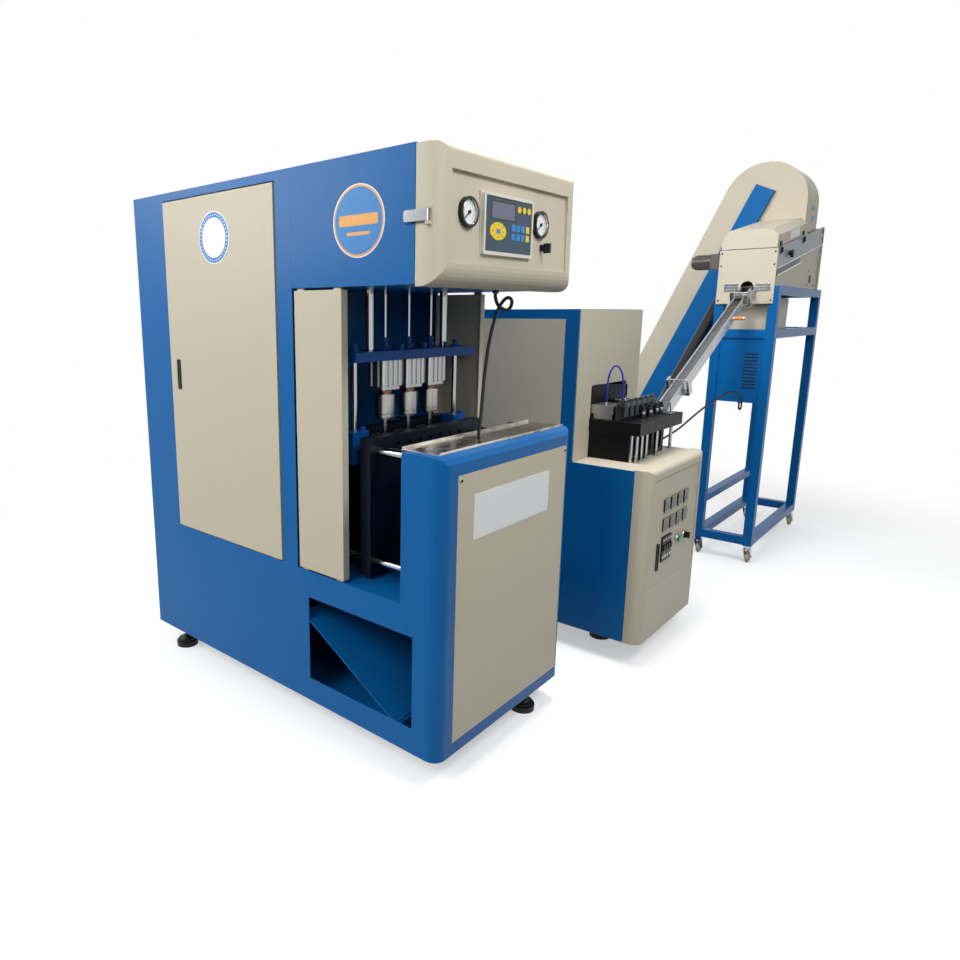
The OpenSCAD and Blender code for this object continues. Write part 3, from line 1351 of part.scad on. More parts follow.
function unit(v) = v / norm(v);
function tangent(p, i) = unit(p[min(i + 1, len(p) - 1)] - p[max(i - 1, 0)]);
// Point at parameter u between points 1 and 2 of four, on a smooth curve through them all
function smooth(a, b, c, d, u) = 0.5 * ((2 * b) + (c - a) * u + (2 * a - 5 * b + 4 * c - d) * u * u
    + (3 * b - a - 3 * c + d) * u * u * u);
function route(p, n) = [for (i = [0 : len(p) - 2], j = [0 : n - 1])
    smooth(p[max(i - 1, 0)], p[i], p[i + 1], p[min(i + 2, len(p) - 1)], j / n), p[len(p) - 1]];

// The reference direction is one that the route never follows
module cord(points, r, reference, n = 1, k = 8) {
    p = route(points, n);
    m = len(p);
    pts = [for (i = [0 : m - 1]) let (t = tangent(p, i), s = unit(cross(t, reference)), q = cross(t, s))
        for (j = [0 : k - 1]) p[i] + r * (cos(j * 360 / k) * s + sin(j * 360 / k) * q)];
    sides = [for (i = [0 : m - 2], j = [0 : k - 1])
        [i * k + j, i * k + (j + 1) % k, (i + 1) * k + (j + 1) % k, (i + 1) * k + j]];
    caps = [[for (j = [k - 1 : -1 : 0]) j], [for (j = [0 : k - 1]) (m - 1) * k + j]];
    polyhedron(points = pts, faces = concat(sides, caps));
}

module screen_cable() color(black) at_origin() cord(screen_path, 6, [0, 1, 0]);

module feed_tube() color("#1b3fb0") at_origin() cord(tube_path, 4, [58, 37, 0]);

module loader_cable() color(black) at_origin() cord(loader_path, 5, [0, 1, 0]);

rear_cabinet();
cabinet_door();
door_handle();
head_box();
control_cover();
screen_unit();
gauge_cases();
needle_left();
needle_right();
key_switch();
clasp_lever();
base_box();
front_guard();
front_panel();
guard_tray();
side_panel_left();
side_panel_right();
blow_frame();
guide_columns();
front_mould();
rear_mould();
blow_cylinders();
blow_cores();
stretch_rods();
levelling_feet();
oven_body();
oven_panels();
oven_lamps();
console_body();
console_cover();
meters();
power_button();
selector_knob();
infeed_table();
spindle_chain();
star_wheel();
feed_cylinder();
transfer_rail();
transfer_carriage();
stand_frame();
castor_fork_left();
castor_fork_right();
castor_wheel_left();
castor_wheel_right();
castor_wheel_rear_left();
castor_wheel_rear_right();
loader_housing();
trough_plates();
roller_front();
roller_rear();
trough_cover();
trough_knob();
drive_motor();
chute();
elevator_casing();
elevator_beams();
elevator_belt();
screen_cable();
feed_tube();
loader_cable();
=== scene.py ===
"""Looks of a three-cavity blow moulding line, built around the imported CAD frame.

Lengths are in millimetres in the maker's corner frame (x from the cabinet's left side, y from the
guard's front, z from the floor), and `to_row` turns them into the row's metres. Only the lamps, the
floor and what the shaders measure are in metres.
"""

import logging
from dataclasses import dataclass, field
from enum import Enum
from typing import Sequence

import bpy
import numpy as np
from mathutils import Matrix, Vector

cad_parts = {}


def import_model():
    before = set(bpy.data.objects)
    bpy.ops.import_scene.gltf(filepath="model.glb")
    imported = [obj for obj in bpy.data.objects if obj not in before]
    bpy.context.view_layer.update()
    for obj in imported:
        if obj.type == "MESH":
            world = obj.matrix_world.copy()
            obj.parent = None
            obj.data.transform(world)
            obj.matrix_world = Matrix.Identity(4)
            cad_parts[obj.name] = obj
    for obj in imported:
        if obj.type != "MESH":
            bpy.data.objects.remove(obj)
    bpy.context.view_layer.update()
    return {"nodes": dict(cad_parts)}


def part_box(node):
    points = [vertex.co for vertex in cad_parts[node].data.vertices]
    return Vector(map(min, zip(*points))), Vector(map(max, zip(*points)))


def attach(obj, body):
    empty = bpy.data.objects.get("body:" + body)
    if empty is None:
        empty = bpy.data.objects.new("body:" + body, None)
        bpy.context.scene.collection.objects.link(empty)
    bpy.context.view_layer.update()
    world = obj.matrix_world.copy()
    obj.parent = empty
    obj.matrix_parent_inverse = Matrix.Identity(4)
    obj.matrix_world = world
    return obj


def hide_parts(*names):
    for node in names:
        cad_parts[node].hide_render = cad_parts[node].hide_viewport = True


LOG = logging.getLogger("blow_moulding_line")
MILLIMETRE = 0.001
ROW_MIDDLE = np.array([2060.5, 726.0, 0.0])
AXES = dict(zip("xyz", np.eye(3)))
Tree = bpy.types.NodeTree
Node = bpy.types.Node
Socket = bpy.types.NodeSocket
Pair = tuple[float, float]
Triple = tuple[float, float, float]
Vec = Sequence[float]
FLOAT, COLOUR, VECTOR = "NodeSocketFloat", "NodeSocketColor", "NodeSocketVector"


class Kind(Enum):
    """What a finish is made of."""

    PAINT = "paint"
    BRUSHED = "brushed"
    CHROME = "chrome"
    CAST = "cast"
    PLASTIC = "plastic"
    RUBBER = "rubber"
    GLASS = "glass"
    PRINT = "print"


@dataclass(frozen=True)
class Finish:
    """One surface finish: its make-up, its colour and how much it varies."""

    name: str
    kind: Kind
    colour: str
    rough: float
    variation: float = 0.06
    bump: float = 0.1
    grain: float = 300.0
    coat: float = 0.0
    wear: float = 0.0
    # rim: share of painted dark reflection mixed into the colour where the surface turns away from
    # the eye
    rim: float = 0.0


BLUE = Finish("blue_enamel", Kind.PAINT, "#0a63a6", 0.34, 0.05, 0.05, 420, 0.04, 0.2)
DEEP_BLUE = Finish("deep_blue_enamel", Kind.PAINT, "#0b4a92", 0.34, 0.07, 0.06, 420, 0.06, 0.3)
PEBBLE = Finish("pebble_enamel", Kind.PAINT, "#cbc3ae", 0.42, 0.03, 0.08, 520, 0.05, 0.1)
PALE_TRIM = Finish("pale_trim", Kind.PLASTIC, "#dedacd", 0.45, 0.03, 0.05)
STAINLESS = Finish("stainless_sheet", Kind.BRUSHED, "#b4b6b9", 0.24, 0.06, 0.03, 30)
DARK_STAINLESS = Finish("scuffed_stainless", Kind.BRUSHED, "#cfc9c1", 0.20, 1.0, 0.16, 14)
CHROME = Finish("bright_chrome", Kind.CHROME, "#b4b6ba", 0.10, 0.05, 0.02, rim=0.95)
TURNED = Finish("turned_steel", Kind.BRUSHED, "#adacaa", 0.24, 0.06, 0.04, 90, rim=0.7)
ALUMINIUM = Finish("extruded_aluminium", Kind.BRUSHED, "#b9babb", 0.34, 0.06, 0.05, 90, rim=0.4)
SLATE = Finish("slate_plate", Kind.PAINT, "#98a5ad", 0.40, 0.06, 0.08, 380, 0.15, 0.2)
IRON = Finish("dark_machined_iron", Kind.CAST, "#3c4046", 0.42, 0.18, 0.22, 220)
MOTOR_GREY = Finish("motor_grey", Kind.CAST, "#56524f", 0.46, 0.12, 0.18, 260)
BLACK_STEEL = Finish("black_steel", Kind.PAINT, "#141416", 0.42, 0.10, 0.10, 300, 0.0, 0.2)
BLACK_PLASTIC = Finish("black_plastic", Kind.PLASTIC, "#151517", 0.42, 0.08, 0.12, 500)
BLACK_RUBBER = Finish("black_rubber", Kind.RUBBER, "#131314", 0.60, 0.10, 0.14, 340)
BELT = Finish("belt_rubber", Kind.RUBBER, "#14241e", 0.62, 0.14, 0.2, 160)
CREAM = Finish("cream_tread", Kind.RUBBER, "#cfc8a8", 0.52, 0.08, 0.10, 240)
TUBE_BLUE = Finish("air_tube_blue", Kind.PLASTIC, "#1233b4", 0.28, 0.04, 0.02)
GREEN = Finish("button_green", Kind.PLASTIC, "#14894a", 0.3, 0.05, 0.04)
ORANGE = Finish("sensor_orange", Kind.PLASTIC, "#e2891d", 0.38, 0.05, 0.05)
COPPER = Finish("copper_ring", Kind.CHROME, "#8a5b45", 0.26, 0.14, 0.04, rim=0.6)
QUARTZ = Finish("quartz_lamp", Kind.GLASS, "#f0d7a8", 0.08, 0.03, 0.02)
WHITE_PLATE = Finish("white_plate", Kind.PRINT, "#eceef0", 0.32, 0.03, 0.03)
DIAL = Finish("dial_white", Kind.PRINT, "#f1f2f2", 0.4, 0.02, 0.02)
INK = Finish("ink_black", Kind.PRINT, "#101113", 0.45, 0.03, 0.02)
MEMBRANE = Finish("membrane_slate", Kind.PRINT, "#35495b", 0.42, 0.05, 0.06, 420)
SCREEN = Finish("display_grey", Kind.PRINT, "#6d6c80", 0.18, 0.06, 0.02)
YELLOW = Finish("key_yellow", Kind.PRINT, "#f0cf35", 0.4, 0.04, 0.04)
SKY = Finish("key_blue", Kind.PRINT, "#2f86c6", 0.4, 0.05, 0.04)
BADGE_BLUE = Finish("badge_blue", Kind.PRINT, "#1f7cc0", 0.38, 0.04, 0.03)
MOULD_NAVY = Finish("navy_mould", Kind.CAST, "#0e1626", 0.44, 0.16, 0.12, 220)
GOLD = Finish("badge_gold", Kind.PRINT, "#e5a44c", 0.34, 0.10, 0.04)
METER_FACE = Finish("meter_face", Kind.PRINT, "#2c3f3f", 0.22, 0.08, 0.02)
METER_FRAME = Finish("meter_frame", Kind.PRINT, "#b4ae92", 0.4, 0.04, 0.03)

METALLIC = {Kind.BRUSHED: 1.0, Kind.CHROME: 1.0, Kind.CAST: 0.55}
SPECULAR = {Kind.BRUSHED: 0.5, Kind.CHROME: 0.5, Kind.CAST: 0.5, Kind.PAINT: 0.12}
PLAIN_SPECULAR = 0.3
BARE_EDGE = "#b9bcc0"
# Dim grey of the painted dark reflection on bright metal at grazing angles
PAINTED_DARK_REFLECTION = (0.05, 0.052, 0.056, 1)

NODE_FINISH: dict[Finish, tuple[str, ...]] = {
    BLUE: ("rear_cabinet", "head_box", "base_box", "front_guard", "oven_body", "console_body",
           "stand_frame", "elevator_beams"),
    DEEP_BLUE: ("blow_frame",),
    PEBBLE: ("cabinet_door", "control_cover", "front_panel", "side_panel_left", "side_panel_right",
             "oven_panels", "console_cover", "loader_housing", "trough_cover", "elevator_casing"),
    PALE_TRIM: ("screen_unit",),
    STAINLESS: ("transfer_rail", "chute", "castor_fork_left", "castor_fork_right"),
    DARK_STAINLESS: ("guard_tray",),
    CHROME: ("clasp_lever", "guide_columns", "stretch_rods"),
    TURNED: ("blow_cores", "star_wheel", "roller_front", "roller_rear"),
    ALUMINIUM: ("blow_cylinders", "feed_cylinder"),
    SLATE: ("trough_plates",),
    IRON: ("spindle_chain", "transfer_carriage"),
    MOULD_NAVY: ("front_mould", "rear_mould"),
    MOTOR_GREY: ("drive_motor",),
    BLACK_STEEL: ("infeed_table",),
    BLACK_PLASTIC: ("door_handle", "gauge_cases", "needle_left", "needle_right", "key_switch",
                    "meters", "selector_knob", "trough_knob", "levelling_feet"),
    BELT: ("elevator_belt",),
    CREAM: ("castor_wheel_left", "castor_wheel_right", "castor_wheel_rear_left",
            "castor_wheel_rear_right"),
    GREEN: ("power_button",),
    QUARTZ: ("oven_lamps",),
}


def linear(colour: str) -> tuple[float, float, float, float]:
    """A colour written as "#rrggbb", as linear light for a colour socket."""
    srgb = np.array([int(colour[i : i + 2], 16) for i in (1, 3, 5)]) / 255.0
    low, high = srgb / 12.92, ((srgb + 0.055) / 1.055) ** 2.4
    return (*np.where(srgb <= 0.04045, low, high).tolist(), 1.0)


def added(name: str, data: bpy.types.ID) -> bpy.types.Object:
    """A new object of the scene."""
    thing = bpy.data.objects.new(name, data)
    bpy.context.scene.collection.objects.link(thing)
    return thing


def to_row(points: np.ndarray) -> np.ndarray:
    """Corner-frame millimetres as row-frame metres."""
    return (np.asarray(points, float) - ROW_MIDDLE) * MILLIMETRE


# Shader groups


def put(node: Node, values: dict[str, object]) -> None:
    """Set a node's inputs by their names."""
    for label, value in values.items():
        node.inputs[label].default_value = value


def new_group(name: str, inputs: Sequence[tuple], outputs: Sequence[tuple]) -> tuple:
    """An empty shader group with its sockets.

    Args:
        name: the group's name.
        inputs: (name, socket type, default) of each input.
        outputs: (name, socket type) of each output.

    Returns:
        The node tree, the sockets that its inputs arrive at, and those of its outputs.
    """
    tree = bpy.data.node_groups.new(name, "ShaderNodeTree")
    for label, kind, value in inputs:
        socket = tree.interface.new_socket(label, in_out="INPUT", socket_type=kind)
        socket.default_value = value
    for label, kind in outputs:
        tree.interface.new_socket(label, in_out="OUTPUT", socket_type=kind)
    entry, out = (tree.nodes.new("NodeGroup" + side) for side in ("Input", "Output"))
    return tree, entry.outputs, out.inputs


def maths(tree: Tree, operation: str, a, b=None) -> Socket:
    """A math node between sockets or numbers, and its result."""
    node = tree.nodes.new("ShaderNodeMath")
    node.operation = operation
    for index, value in enumerate((a, b)):
        if isinstance(value, (int, float)):
            node.inputs[index].default_value = value
        elif value is not None:
            tree.links.new(value, node.inputs[index])
    return node.outputs[0]


def noise(tree: Tree, vector, scale, detail: float = 3.0) -> Socket:
    """A noise texture on a vector, whose scale is a socket or a number."""
    node = tree.nodes.new("ShaderNodeTexNoise")
    put(node, {"Detail": detail})
    tree.links.new(vector, node.inputs["Vector"])
    if isinstance(scale, (int, float)):
        put(node, {"Scale": scale})
    else:
        tree.links.new(scale, node.inputs["Scale"])
    return node.outputs["Fac"]


def place_of(tree: Tree) -> Socket:
    """The Object coordinates."""
    return tree.nodes.new("ShaderNodeTexCoord").outputs["Object"]


def weighed(tree: Tree, first, share: float, second, rest: float):
    """The sum of two values, each times its own share."""
    return maths(tree, "ADD", maths(tree, "MULTIPLY", first, share),
                 maths(tree, "MULTIPLY", second, rest))


def blended(tree: Tree, colour, by, other: tuple) -> Socket:
    """A colour into which another one is mixed by a factor."""
    mix = tree.nodes.new("ShaderNodeMix")
    mix.data_type = "RGBA"
    put(mix, {"B": other})
    tree.links.new(by, mix.inputs["Factor"])
    tree.links.new(colour, mix.inputs["A"])
    return mix.outputs["Result"]


def carried(tree: Tree, value, limits: Vec, smooth: bool = True) -> Socket:
    """A value carried over from one range to another, whose four ends are the limits."""
    node = tree.nodes.new("ShaderNodeMapRange")
    node.interpolation_type = "SMOOTHSTEP" if smooth else "LINEAR"
    put(node, dict(zip(("From Min", "From Max", "To Min", "To Max"), limits)))
    tree.links.new(value, node.inputs["Value"])
    return node.outputs["Result"]


@dataclass
class ShaderKit:
    """The effects that several finishes share, each built once as a node group."""

    groups: dict[str, Tree] = field(default_factory=dict)

    def build(self) -> None:
        """Make every group."""
        self.groups.update(tone=self._tone(), grain=self._grain(), streaks=self._streaks(),
                           edges=self._edges())

    def _tone(self) -> Tree:
        """Slow cloudy change of a colour and of its roughness."""
        tree, entry, out = new_group(
            "slow_tone", [("Colour", COLOUR, (0.5, 0.5, 0.5, 1)), ("Rough", FLOAT, 0.4),
                          ("Amount", FLOAT, 0.05)], [("Colour", COLOUR), ("Rough", FLOAT)])
        place = place_of(tree)
        broad = maths(tree, "SUBTRACT", noise(tree, place, 1.7, 4.0), 0.5)
        fine = maths(tree, "SUBTRACT", noise(tree, place, 23.0, 5.0), 0.5)
        swing = maths(tree, "MULTIPLY", weighed(tree, broad, 1.4, fine, 0.6), entry["Amount"])
        shade = tree.nodes.new("ShaderNodeHueSaturation")
        value = maths(tree, "ADD", maths(tree, "MULTIPLY", swing, 2.0), 1.0)
        tree.links.new(value, shade.inputs["Value"])
        tree.links.new(entry["Colour"], shade.inputs["Color"])
        tree.links.new(shade.outputs["Color"], out["Colour"])
        tree.links.new(maths(tree, "ADD", entry["Rough"], swing), out["Rough"])
        return tree

    def _grain(self) -> Tree:
        """Fine even grain, such as spray paint, moulded plastic or cast skin, as a height."""
        tree, entry, out = new_group("fine_grain", [("Size", FLOAT, 300.0)], [("Height", FLOAT)])
        place = place_of(tree)
        fine = noise(tree, place, entry["Size"], 2.0)
        wave = noise(tree, place, 34.0, 1.0)
        tree.links.new(maths(tree, "ADD", fine, maths(tree, "MULTIPLY", wave, 1.5)), out["Height"])
        return tree

    def _streaks(self) -> Tree:
        """Long fine streaks along X, as rolled or brushed metal has, as a mask and a height."""
        tree, entry, out = new_group("drawn_streaks", [("Size", FLOAT, 80.0)],
                                     [("Mask", FLOAT), ("Height", FLOAT)])
        place = place_of(tree)
        stretch = tree.nodes.new("ShaderNodeMapping")
        put(stretch, {"Scale": (0.35, 4.0, 4.0)})
        tree.links.new(place, stretch.inputs["Vector"])
        lines = noise(tree, stretch.outputs["Vector"], entry["Size"], 4.0)
        smudge = noise(tree, place, 9.0, 3.0)
        tree.links.new(weighed(tree, lines, 0.6, smudge, 0.4), out["Mask"])
        tree.links.new(lines, out["Height"])
        return tree

    def _edges(self) -> Tree:
        """Mask of rubbed edges: where a softened normal leaves the true one, broken up by noise."""
        tree, entry, out = new_group("rubbed_edges", [("Amount", FLOAT, 0.3)],
                                     [("Mask", FLOAT), ("Normal", VECTOR)])
        soft = tree.nodes.new("ShaderNodeBevel")
        soft.samples = 4
        put(soft, {"Radius": 0.0022})
        true = tree.nodes.new("ShaderNodeNewGeometry").outputs["Normal"]
        dot = tree.nodes.new("ShaderNodeVectorMath")
        dot.operation = "DOT_PRODUCT"
        tree.links.new(soft.outputs["Normal"], dot.inputs[0])
        tree.links.new(true, dot.inputs[1])
        broken = maths(tree, "GREATER_THAN", noise(tree, place_of(tree), 16.0, 5.0), 0.53)
        edge = maths(tree, "MULTIPLY", maths(tree, "SUBTRACT", 1.0, dot.outputs["Value"]), 3.0)
        mask = maths(tree, "MULTIPLY", maths(tree, "MINIMUM", edge, 1.0), broken)
        tree.links.new(maths(tree, "MULTIPLY", mask, entry["Amount"]), out["Mask"])
        tree.links.new(soft.outputs["Normal"], out["Normal"])
        return tree


@dataclass
class FinishShop:
    """Makes each finish's material once."""

    kit: ShaderKit
    made: dict[str, bpy.types.Material] = field(default_factory=dict)

    def material(self, finish: Finish) -> bpy.types.Material:
        """The material of a finish, built on its first use."""
        if finish.name not in self.made:
            self.made[finish.name] = self._build(finish)
        return self.made[finish.name]

    def _group(self, tree: Tree, name: str, **values) -> Node:
        """A shared group placed in a material, with its own values."""
        node = tree.nodes.new("ShaderNodeGroup")
        node.node_tree = self.kit.groups[name]
        put(node, values)
        return node

    def _build(self, finish: Finish) -> bpy.types.Material:
        """Wire one finish: tone into colour and roughness, grain or streaks into a bump."""
        material = bpy.data.materials.new(finish.name)
        material.use_nodes = True
        tree = material.node_tree
        shader = tree.nodes["Principled BSDF"]
        tone = self._group(tree, "tone", Colour=linear(finish.colour), Rough=finish.rough,
                           Amount=finish.variation)
        colour, rough = tone.outputs["Colour"], tone.outputs["Rough"]
        put(shader, {"Metallic": METALLIC.get(finish.kind, 0.0),
                     "Specular IOR Level": SPECULAR.get(finish.kind, PLAIN_SPECULAR),
                     "Coat Weight": finish.coat, "Coat Roughness": 0.16})
        bump = tree.nodes.new("ShaderNodeBump")
        put(bump, {"Distance": 0.0006, "Strength": max(finish.bump, 0.01)})
        if finish.kind is Kind.BRUSHED:
            streaks = self._group(tree, "streaks", Size=finish.grain)
            tree.links.new(streaks.outputs["Height"], bump.inputs["Height"])
            swing = maths(tree, "SUBTRACT", streaks.outputs["Mask"], 0.5)
            rough = maths(tree, "ADD", rough, maths(tree, "MULTIPLY", swing, 0.22))
        else:
            grain = self._group(tree, "grain", Size=finish.grain)
            tree.links.new(grain.outputs["Height"], bump.inputs["Height"])
        if finish.kind in (Kind.PAINT, Kind.CAST, Kind.BRUSHED):
            edges = self._group(tree, "edges", Amount=finish.wear)
            tree.links.new(edges.outputs["Normal"], bump.inputs["Normal"])
            if finish.wear > 0:
                colour = blended(tree, colour, edges.outputs["Mask"], linear(BARE_EDGE))
        # Painted dark reflection towards the grazing edges of bright metal
        if finish.rim > 0:
            colour = self._painted_dark_reflection(tree, colour, finish.rim)
        if finish.kind is Kind.GLASS:
            put(shader, {"Transmission Weight": 0.85, "IOR": 1.46})
        tree.links.new(colour, shader.inputs["Base Color"])
        tree.links.new(rough, shader.inputs["Roughness"])
        tree.links.new(bump.outputs["Normal"], shader.inputs["Normal"])
        return material

    @staticmethod
    def _painted_dark_reflection(tree: Tree, colour: Socket, depth: float) -> Socket:
        """Painted dark reflection: bright metal that loses a share of its colour to a dim grey
        where it turns away from the eye.
        """
        away = tree.nodes.new("ShaderNodeLayerWeight")
        put(away, {"Blend": 0.5})
        painted_reflection_share = carried(tree, away.outputs["Facing"], (0.1, 0.8, 0.08, depth))
        return blended(tree, colour, painted_reflection_share, PAINTED_DARK_REFLECTION)


# Surfaces


@dataclass
class Shape:
    """A surface under way: corner-frame points, faces and a finish index for each face."""

    points: np.ndarray
    faces: list[tuple[int, ...]]
    skins: list[int]

    @staticmethod
    def joined(shapes: Sequence["Shape"]) -> "Shape":
        """Several shapes as one, in their order."""
        starts = np.cumsum([0] + [len(s.points) for s in shapes[:-1]]).tolist()
        faces = [tuple(i + start for i in face)
                 for start, s in zip(starts, shapes) for face in s.faces]
        points = np.concatenate([s.points for s in shapes])
        return Shape(points, faces, [k for s in shapes for k in s.skins])


def unit(vectors: np.ndarray) -> np.ndarray:
    """Vectors scaled to length one, row by row."""
    return vectors / np.linalg.norm(vectors, axis=-1, keepdims=True)


def grid_faces(rows: int, columns: int, wrap: bool) -> list[tuple[int, ...]]:
    """Quads of a grid of points, row by row, closed across its columns where wrap is true."""
    across = columns if wrap else columns - 1
    i, j = np.meshgrid(np.arange(rows - 1), np.arange(across), indexing="ij")
    k, near, far = (j + 1) % columns, i * columns, (i + 1) * columns
    quads = np.stack([near + j, near + k, far + k, far + j], -1)
    return [tuple(q) for q in quads.reshape(-1, 4).tolist()]


def smooth_route(points: Sequence[Vec], steps: int = 4) -> np.ndarray:
    """A smooth line through all the points.

    Each stretch from b to c, with a before and d after, is the cubic
    0.5 (2b + (c - a) u + (2a - 5b + 4c - d) u^2 + (3b - a - 3c + d) u^3).

    Args:
        points: the points it passes, in order.
        steps: pieces of each stretch.

    Returns:
        The points of the line.
    """
    p = np.asarray(points, float)
    before = np.concatenate([p[:1], p[:-1]])[:-1]
    after = np.concatenate([p[1:], p[-1:]])[1:]
    a, b, c, d = (q[:, None, :] for q in (before, p[:-1], p[1:], after))
    u = (np.arange(steps) / steps)[None, :, None]
    line = 0.5 * (2 * b + (c - a) * u + (2 * a - 5 * b + 4 * c - d) * u**2
                  + (3 * b - a - 3 * c + d) * u**3)
    return np.concatenate([line.reshape(-1, 3), p[-1:]])


def swept_tube(path: np.ndarray, radius: float, reference: Vec, sides: int = 12,
               skin: int = 0) -> Shape:
    """A round tube along a path: point = path + radius (cos a · side + sin a · up).

    Args:
        path: the centre line.
        radius: the tube's radius.
        reference: a direction that the path never follows; side is square to it and the path.
        sides: corners of the round.
        skin: finish index.

    Returns:
        The closed tube.
    """
    ahead = unit(np.gradient(path, axis=0))
    side = unit(np.cross(ahead, np.asarray(reference, float)))
    up = np.cross(ahead, side)
    a = np.arange(sides) * 2 * np.pi / sides
    ring = np.cos(a)[None, :, None] * side[:, None] + np.sin(a)[None, :, None] * up[:, None]
    points = (path[:, None] + radius * ring).reshape(-1, 3)
    faces = [f[::-1] for f in grid_faces(len(path), sides, True)]
    last = (len(path) - 1) * sides
    faces += [tuple(range(sides)), tuple(range(last + sides - 1, last - 1, -1))]
    return Shape(points, flipped_if_inward(points, faces), [skin] * len(faces))


def flipped_if_inward(points: np.ndarray, faces: list[tuple[int, ...]]) -> list[tuple[int, ...]]:
    """Faces turned outwards, so that the volume, the sum of a · (b x c), is positive."""
    fans = np.array([(f[0], f[i], f[i + 1]) for f in faces for i in range(1, len(f) - 1)])
    a, b, c = (points[fans[:, k]] - points.mean(0) for k in range(3))
    volume = np.einsum("ij,ij->", a, np.cross(b, c))
    return faces if volume > 0 else [f[::-1] for f in faces]


def revolved(profile: Sequence[Vec], base: Vec, axis: str, steps: int = 48,
             skins: Sequence[int] | None = None, loop: bool = False) -> Shape:
    """A profile of (radius, height) turned about an axis through base.

    Each point is base + radius (cos a · side + sin a · up) + height · along.

    Args:
        profile: radius and height of each ring, from one pole to the other.
        base: the point of height zero.
        axis: "x", "y" or "z", with "-" before it to point the other way.
        steps: corners of a ring.
        skins: finish index of each band between two rings.
        loop: true for a ring whose profile closes on itself; else both ends are capped.

    Returns:
        The turned surface.
    """
    along = AXES[axis[-1]] * (-1 if axis[0] == "-" else 1)
    side = AXES["y" if axis[-1] == "x" else "x"]
    up = np.cross(along, side)
    p = np.asarray(profile, float)
    a = np.arange(steps) * 2 * np.pi / steps
    spoke = np.cos(a)[:, None] * side + np.sin(a)[:, None] * up
    points = np.asarray(base, float) + p[:, :1, None] * spoke + p[:, 1:, None] * along
    faces = grid_faces(len(p), steps, True)
    last = (len(p) - 1) * steps
    bands = list(np.repeat(skins if skins is not None else [0] * (len(p) - 1), steps))
    if loop:
        faces += [(last + j, last + (j + 1) % steps, (j + 1) % steps, j) for j in range(steps)]
        ends = [int(bands[0])] * steps
    else:
        faces += [tuple(range(steps - 1, -1, -1)), tuple(range(last, last + steps))]
        ends = [int(bands[0]), int(bands[-1])]
    flat = points.reshape(-1, 3)
    return Shape(flat, flipped_if_inward(flat, faces), [int(k) for k in bands] + ends)


def rounded(width: float, height: float, radius: float, corner: int = 6) -> np.ndarray:
    """Outline of a rectangle with round corners, centred on zero, anticlockwise."""
    a = np.linspace(0, np.pi / 2, corner + 1)
    arc = np.stack([np.cos(a), np.sin(a)], -1) * radius
    turns = [np.array([[c, -s], [s, c]]) for c, s in ((1, 0), (0, 1), (-1, 0), (0, -1))]
    corners = np.array([[1, 1], [-1, 1], [-1, -1], [1, -1]])
    centres = corners * (np.array([width, height]) / 2 - radius)
    return np.concatenate([arc @ turn.T + centre for turn, centre in zip(turns, centres)])


def oval(half_width: float, half_height: float, steps: int = 48) -> np.ndarray:
    """Outline of an ellipse centred on zero."""
    a = np.arange(steps) * 2 * np.pi / steps
    return np.stack([half_width * np.cos(a), half_height * np.sin(a)], -1)


def slab(outline: np.ndarray, centre: Vec, across: Vec, up: Vec,
         thickness: float, skin: int = 0) -> Shape:
    """A flat plate: its outline carried along across x up, with a soft front rim.

    Args:
        outline: points (u, v), where the place is centre + u · across + v · up.
        centre: middle of the back face.
        across: direction of u.
        up: direction of v.
        thickness: from the back face to the front.
        skin: finish index.

    Returns:
        The closed plate.
    """
    u, v = unit(np.asarray(across, float)), unit(np.asarray(up, float))
    out = np.cross(u, v)
    soft = min(0.35 * abs(thickness), 1.2)
    inner = outline * (1 - soft / np.abs(outline).max(0))
    layers = [(outline, 0.0), (outline, thickness - soft), (inner, thickness)]
    middle = np.asarray(centre, float)
    points = np.concatenate([middle + o[:, :1] * u + o[:, 1:] * v + h * out for o, h in layers])
    n = len(outline)
    faces = grid_faces(3, n, True) + [tuple(range(n - 1, -1, -1)), tuple(range(2 * n, 3 * n))]
    return Shape(points, flipped_if_inward(points, faces), [skin] * len(faces))


SCREW = ((5.2, 0), (5.2, 0.9), (4.2, 1.9), (0.4, 2.2))
FRONT = ((1, 0, 0), (0, 0, 1))
LEFT = ((0, -1, 0), (0, 0, 1))
TOP = ((1, 0, 0), (0, 1, 0))


